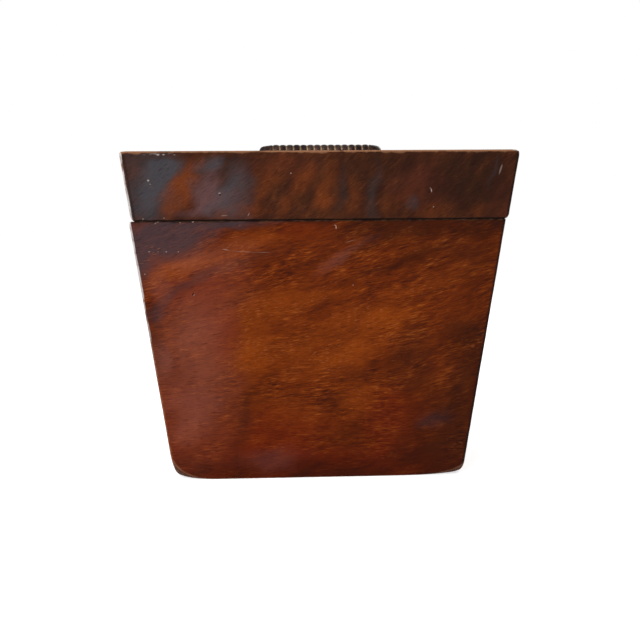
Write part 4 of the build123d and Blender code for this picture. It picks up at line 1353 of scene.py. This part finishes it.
GRIP_HALF = BEADS * BEAD_PITCH / 2
BEND_START = GRIP_HALF + COLLAR_LENGTH
BEND_LENGTH = BEND_RADIUS * math.pi / 2
EYE_PLACE = BEND_START + BEND_LENGTH + REACH - BEND_RADIUS
PIVOT = joints["bail_swing"]
GRIP_HEIGHT = box_mm("handle_bail")[0][2] + BEAD_CREST
DROOP = math.asin((PIVOT[2] - GRIP_HEIGHT) / REACH)
post_spans = {side: box_mm(f"handle_post_{side}") for side in ("left", "right")}
POSTS = {side: (low[0] + high[0]) / 2 for side, (low, high) in post_spans.items()}
print("bail droops %.2f degrees, posts at %.2f and %.2f" % (math.degrees(DROOP), *POSTS.values()))

# %% [markdown]
# A curve with a round bevel would give the bar but not its rings. Here the bar's radius is a function of
# the length along it, so grip, collars, bends, arms and eyes come from one row of circles, which lie close
# together where the radius changes fast.

# %% The bail


def bar_radius(p):
    """Radius of the bail's bar at a length p from the grip's middle."""
    which = np.floor(p / BEAD_PITCH)
    u = 2 * (p / BEAD_PITCH - which) - 1
    height = BEAD_CREST - BEAD_VALLEY - BEAD_UNEVEN * (1 - np.sin(2.1 * which + 0.7))
    ring = BEAD_VALLEY + height * (1 - np.abs(u) ** BEAD_FULLNESS)
    ring = np.maximum(ring, BEAD_VALLEY + PACKED)
    collar = BEAD_VALLEY + (COLLAR_RADIUS - BEAD_VALLEY) * np.clip((p - GRIP_HALF) / 0.35, 0, 1) ** 0.5
    places = [BEND_START, BEND_START + BEND_LENGTH, EYE_PLACE]
    bend = np.interp(p, places, [BEND_BAR_RADIUS, ARM_THICK, ARM_THIN])
    collar = np.where(p > BEND_START, bend + 0.1 * np.exp(-(p - BEND_START)), collar)
    eye = np.sqrt(np.clip(EYE_RADIUS**2 - (p - EYE_PLACE) ** 2, 0, None))
    radius = np.where(p < GRIP_HALF, ring, collar)
    return np.where(p > EYE_PLACE, eye, np.maximum(radius, eye))


def bail_places():
    """Lengths from the grip's middle to the end of one eye: close on the rings, wider on the arms."""
    on_rings = np.linspace(0, GRIP_HALF, BEADS // 2 * 14 + 1)
    on_collar = GRIP_HALF + np.array([0.04, 0.12, 0.25, 0.4, 0.8, 1.15, 1.2, 1.6])
    on_bend = BEND_START + np.linspace(0.08, 1, 12) * BEND_LENGTH
    on_arm = np.linspace(BEND_START + BEND_LENGTH + 1.2, EYE_PLACE - 2.4, 13)
    on_eye = EYE_PLACE + EYE_RADIUS * np.sin(np.radians(np.linspace(-60, 86, 20)))
    half = np.concatenate([on_rings, on_collar, on_bend, on_arm, on_eye])
    return np.concatenate([-half[:0:-1], half])


def pins():
    """A shoulder outside each post's head and a pintle through it, as rings and their groove values."""
    arm_x = BEND_START + BEND_RADIUS
    made = []
    for name, way in (("left", -1), ("right", 1)):
        post_x = way * (POSTS[name] - PIVOT[0])
        clear = HEAD_RADIUS + END_PLAY
        for bar, end in ((SHOULDER_RADIUS, post_x + clear), (PINTLE_RADIUS, post_x - clear)):
            profile = [(end, bar - 0.25), (end + 0.2, bar), (arm_x, bar)]
            profile = [(way * place, radius) for place, radius in profile][::way]
            made.append((turned(profile, (0, 0, 0), (1, 0, 0)), np.array([0.4, 0.4, 0.7][::way])))
    return made


def make_bail():
    """The bar on its path, drawn level and let down by the droop, with a shoulder and pintle at each eye."""
    q = bail_places()
    p, side = np.abs(q), np.sign(q)
    turn = np.clip((p - BEND_START) / BEND_RADIUS, 0, math.pi / 2)
    arm = np.clip(p - BEND_START - BEND_LENGTH, 0, None)
    x = side * (np.minimum(p, BEND_START) + BEND_RADIUS * np.sin(turn))
    y = -REACH + BEND_RADIUS * (1 - np.cos(turn)) + arm
    level = np.zeros_like(q)
    along = np.stack([np.cos(turn), side * np.sin(turn), level], -1)
    upright = np.broadcast_to([0.0, 0.0, 1.0], along.shape)
    radius = bar_radius(p)
    groove = np.where(p < GRIP_HALF + 0.2, (BEAD_CREST - radius) / (BEAD_CREST - BEAD_VALLEY), 0.2)
    bar = rings(np.stack([x, y, level], -1), along, upright, radius, BAR_COLUMNS)
    tip = np.array(Matrix.Rotation(DROOP, 3, "X"))
    return shells("drop_handle", [(rows @ tip.T + PIVOT, depth) for rows, depth in [(bar, groove)] + pins()])


bail = make_bail()
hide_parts("handle_bail")
print("bail faces", len(bail.data.polygons))

# %% [markdown]
# Posts and roses came off a lathe, so each is a profile carried round an upright axis. The posts' ball heads
# take the bail's pintles, and the roses under them spread the pull on the lid.

# %% Posts and roses


def ball(z, radius, low, high, count):
    """Profile of a ball between two angles in degrees above its middle."""
    angle = np.radians(np.linspace(low, high, count))
    return [(z + radius * math.sin(a), radius * math.cos(a)) for a in angle]


def make_post(side):
    """Stud, flange, a short hollow neck and a ball head."""
    low_z = post_spans[side][0][2]
    rose_top = HEIGHT + ROSE_THICKNESS
    flange_top = rose_top + FLANGE_THICKNESS
    stud = [(low_z, STUD_RADIUS - 0.3), (low_z + 0.3, STUD_RADIUS), (rose_top, STUD_RADIUS)]
    stud += [(rose_top, FLANGE_RADIUS - 0.15), (rose_top + 0.15, FLANGE_RADIUS)]
    flange = [(flange_top - 0.25, FLANGE_RADIUS), (flange_top - 0.05, FLANGE_RADIUS - 0.25)]
    sweep = np.linspace(0, 1, 8)
    start = FLANGE_RADIUS - 0.3
    neck = [(flange_top + 0.85 * t * t, start - (start - NECK_RADIUS) * t**0.7) for t in sweep]
    profile = stud + flange + neck + ball(PIVOT[2], HEAD_RADIUS, -43, 86, 22)
    depth = np.array([0.8] * 5 + [0.2] * 2 + list(0.3 + 0.7 * sweep) + [0.9, 0.5] + [0.0] * 20)
    rows = turned(profile, (POSTS[side], 0, 0), (0, 0, 1))
    return shells(f"handle_post_{side}_turned", [(rows, depth)])


def make_rose(side):
    """A disc with a rounded rim and a raised ring near it."""
    top, ring_at = HEIGHT + ROSE_THICKNESS, ROSE_RADIUS - 3 * ROSE_RING
    corner = np.radians(np.linspace(0, 90, 6))
    rim = [(top - ROSE_EDGE * (1 - math.sin(a)), ROSE_RADIUS - ROSE_EDGE * (1 - math.cos(a))) for a in corner]
    round_ring = np.radians(range(0, 181, 18))
    bead = [(top + ROSE_RING * math.sin(a), ring_at + ROSE_RING * math.cos(a)) for a in round_ring]
    profile = [(HEIGHT, STUD_RADIUS), (HEIGHT, ROSE_RADIUS - 0.1), (HEIGHT + 0.1, ROSE_RADIUS)]
    profile += rim + bead + [(top, FLANGE_RADIUS - 0.4), (top, STUD_RADIUS)]
    depth = [0.9] * 2 + [0.6] + [0.2] * 5 + [0.8, 1.0] + [0.1] * 9 + [1.0, 1.0, 1.0]
    rows = turned(profile, (POSTS[side], 0, 0), (0, 0, 1))
    return shells(f"handle_rose_{side}_turned", [(rows, np.array(depth))])


brasses = [bail]
for side in POSTS:
    for kind, make in (("post", make_post), ("rose", make_rose)):
        piece = make(side)
        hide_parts(f"handle_{kind}_{side}")
        brasses.append(piece)
for piece in brasses:
    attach(piece, "bail" if piece is bail else "lid")
print([piece.name for piece in brasses])

# %% [markdown]
# ## Metals
#
# Old cast brass goes brown to black where it is left alone and keeps a dull yellow where it is handled. The
# groove value stored on the handle says where a pale tan is painted deep in the rings, a painted highlight
# of the lamps on their flanks. The hinges are rolled brass that has only dulled, and the nuts and nails are
# iron with a bloom of rust.

# %% Brass and iron


def patchy_metal(name, clean, dull, size, share, roughness, groove=None):
    """Metal with two colours in soft patches of a size in mm, and a painted highlight in its grooves."""
    material, tree = new_tree(name)
    at = add(tree, "TexCoord").outputs["Object"]
    patches = add(tree, "TexNoise", {"Vector": at, "Scale": 1 / size / MM, "Detail": 5.0, "Roughness": 0.65})
    mask = add(tree, "MapRange", {0: patches, 1: share - 0.1, 2: share + 0.12}, **SOFT)
    colour = add(tree, "Mix", {"Factor": mask, "A": linear(clean), "B": linear(dull)}, **OVER)
    rough = add(tree, "MapRange", {0: mask, 3: roughness[0], 4: roughness[1]}, **SOFT)
    if groove:
        stored = add(tree, "Attribute", attribute_name="groove").outputs["Fac"]
        # A pale painted highlight deep in the grooves.
        colour = mottled(tree, colour, linear(groove), stored, 0.45, 0.7, 0.0, 0.55)
    grit = add(tree, "TexNoise", {"Vector": at, "Scale": 1 / 0.8 / MM, "Detail": 3.0})
    bump = add(tree, "Bump", {"Strength": 0.25, "Distance": 0.05 * MM, "Height": grit})
    feeds = {"Base Color": colour, "Metallic": 1.0, "Roughness": rough, "Normal": bump}
    add(tree, "OutputMaterial", {"Surface": add(tree, "BsdfPrincipled", feeds)})
    return material


metals = {
    # The handle's last colour is a painted highlight in its grooves.
    "handle": patchy_metal("patinated_cast_brass", "#42332C", "#241B1A", 7.0, 0.5, (0.42, 0.6), "#9C8268"),
    "hinge": patchy_metal("dull_rolled_brass", "#B39557", "#6F5632", 6.0, 0.52, (0.3, 0.52)),
    "iron": patchy_metal("rusted_iron", "#4A4542", "#5A3726", 2.5, 0.5, (0.5, 0.8)),
}
for piece in brasses:
    piece.data.materials.append(metals["handle"])
print("metals", [m.name for m in metals.values()])

# %% [markdown]
# ## Solid wood and cloth
#
# The rims are lipped with solid mahogany, whose grain runs straight along each strip. The carcase is old
# pine: bands of pale early wood and darker late wood a few millimetres apart, grimed where hands reach.
# The lining is green baize, a milled wool whose fibres hide the weave and give a soft sheen. None of them
# follows a bent surface, so all read plain object coordinates, which go along when the lid moves.

# %% Straight-grained woods
STAIN_SPREAD = 1.1  # reach of the dark stain over that of the corner's wear


def stained(tree, colour, at):
    """Wood that a knocked corner lays bare, gone as dark as the veneer, with pale scuffs."""
    scuffs = add(tree, "TexNoise", {"Vector": at, "Scale": 1 / 2.2 / MM, "Detail": 3.0})
    bare = mottled(tree, linear("#4A2818"), linear("#94705A"), scuffs, 0.56, 0.7, 0.0, 0.5)
    height, _, corners = WEAR["base"]
    for corner, reach in corners.items():
        x = half_width(height) * (-1 if "left" in corner else 1) + CASE_SHIFT
        y = half_depth(height) * (-1 if "front" in corner else 1)
        away = outward(tree, at, (x, y, height), [STAIN_SPREAD * r for r in reach])
        colour = mottled(tree, colour, bare, away, 0.9, 1.1, 1.0, 0.0)
    return colour


def straight_wood(name, turn, stops, bands, fibres, roughness, gloss, grime=None):
    """Solid wood with its grain along X, or along Y where it is turned. Band and fibre sizes are in mm."""
    material, tree = new_tree(name)
    at = add(tree, "TexCoord").outputs["Object"]
    held = add(tree, "Mapping", {"Vector": at, "Rotation": (0, 0, turn)})
    tone = 0.5
    for along, across, weight in (bands, fibres):
        scale = (along * MM, across * MM, across * MM)
        stretch = add(tree, "Mapping", {"Vector": held, "Scale": scale}, vector_type="TEXTURE")
        noise = add(tree, "TexNoise", {"Vector": stretch, "Scale": 1.0, "Detail": 4.0, "Distortion": 0.4})
        centred = add(tree, "Math", {0: noise, 1: 0.5}, operation="SUBTRACT")
        layer = add(tree, "Math", {0: centred, 1: weight}, **TIMES)
        tone = add(tree, "Math", {0: tone, 1: layer}, operation="ADD")
    colour = add(tree, "ValToRGB", {0: tone}, stops)
    if grime:
        smudge = add(tree, "TexNoise", {"Vector": at, "Scale": 1 / 40 / MM, "Detail": 4.0})
        colour = mottled(tree, colour, linear(grime), smudge, 0.45, 0.75, 0.0, 0.6)
        colour = stained(tree, colour, at)
    # The layer made last is that of the fibres, which stand up a little.
    bump = add(tree, "Bump", {"Strength": 0.3, "Distance": 0.08 * MM, "Height": layer})
    feeds = {"Base Color": colour, "Roughness": roughness, "Specular IOR Level": gloss, "Normal": bump}
    add(tree, "OutputMaterial", {"Surface": add(tree, "BsdfPrincipled", feeds)})
    return material


LIPPING_STOPS = ((0.2, "#3B1A0C"), (0.5, "#5E2C15"), (0.8, "#7E4322"))
PINE_STOPS = ((0.2, "#7C5632"), (0.5, "#A67C4C"), (0.8, "#BE9562"))
QUARTER = math.pi / 2
woods = {}
for way, turn in (("long", 0.0), ("cross", QUARTER)):
    woods["lipping", way] = straight_wood(
        f"mahogany_lipping_{way}", turn, LIPPING_STOPS, (70, 4, 1.3), (18, 0.6, 0.7), 0.5, 0.1
    )
    woods["pine", way] = straight_wood(
        f"aged_pine_{way}", turn, PINE_STOPS, (120, 5, 1.4), (30, 0.8, 0.5), 0.8, 0.15, "#4F3A26"
    )
print("woods", len(woods))

# %% Green baize
BAIZE_STOPS = ((0.3, "#22372A"), (0.5, "#31503C"), (0.72, "#48684F"))


def baize():
    """Milled wool: a fine fleck of fibres over a slow fading, with wool's sheen."""
    material, tree = new_tree("green_wool_baize")
    at = add(tree, "TexCoord").outputs["Object"]
    fleck = add(tree, "TexNoise", {"Vector": at, "Scale": 1 / 0.9 / MM, "Detail": 3.0, "Roughness": 0.7})
    fading = add(tree, "TexNoise", {"Vector": at, "Scale": 1 / 35 / MM, "Detail": 2.0})
    colour = add(tree, "ValToRGB", {0: fleck}, BAIZE_STOPS)
    colour = mottled(tree, colour, linear("#5A6547"), fading, 0.4, 0.75, 0.0, 0.45)
    bump = add(tree, "Bump", {"Strength": 0.5, "Distance": 0.25 * MM, "Height": fleck})
    feeds = {
        "Base Color": colour,
        "Roughness": 0.95,
        "Specular IOR Level": 0.1,
        "Sheen Weight": 0.35,
        "Sheen Roughness": 0.5,
        "Normal": bump,
    }
    add(tree, "OutputMaterial", {"Surface": add(tree, "BsdfPrincipled", feeds)})
    return material


cloth = baize()
print("lining", cloth.name)

# %% [markdown]
# ## Everything else
#
# Carcase, lippings, lining, hinges, screws, washers, nuts and brads keep the frame's shapes, because nothing
# finer would show on them. A piece's name says what it is made of and which way its grain runs.

# %% Finish of every piece that keeps its shape


def finish_for(node):
    """The material for a piece by its name."""
    way = "cross" if node.endswith(("_left", "_right")) else "long"
    if "lipping" in node:
        return woods["lipping", way]
    if "lining" in node:
        return cloth
    if "board" in node or "wall" in node:
        return woods["pine", way]
    if node.startswith("hinge"):
        return metals["hinge"]
    return metals["iron"]


counts = {}
replaced = {f"{part}_veneer_{side}" for part, side in sheets} | {"handle_bail"}
replaced |= {f"handle_{kind}_{side}" for kind in ("post", "rose") for side in POSTS}
for node, obj in frame["nodes"].items():
    if node in replaced:
        continue
    material = finish_for(node)
    obj.data.materials.clear()
    obj.data.materials.append(material)
    counts[material.name] = counts.get(material.name, 0) + 1
print(counts)
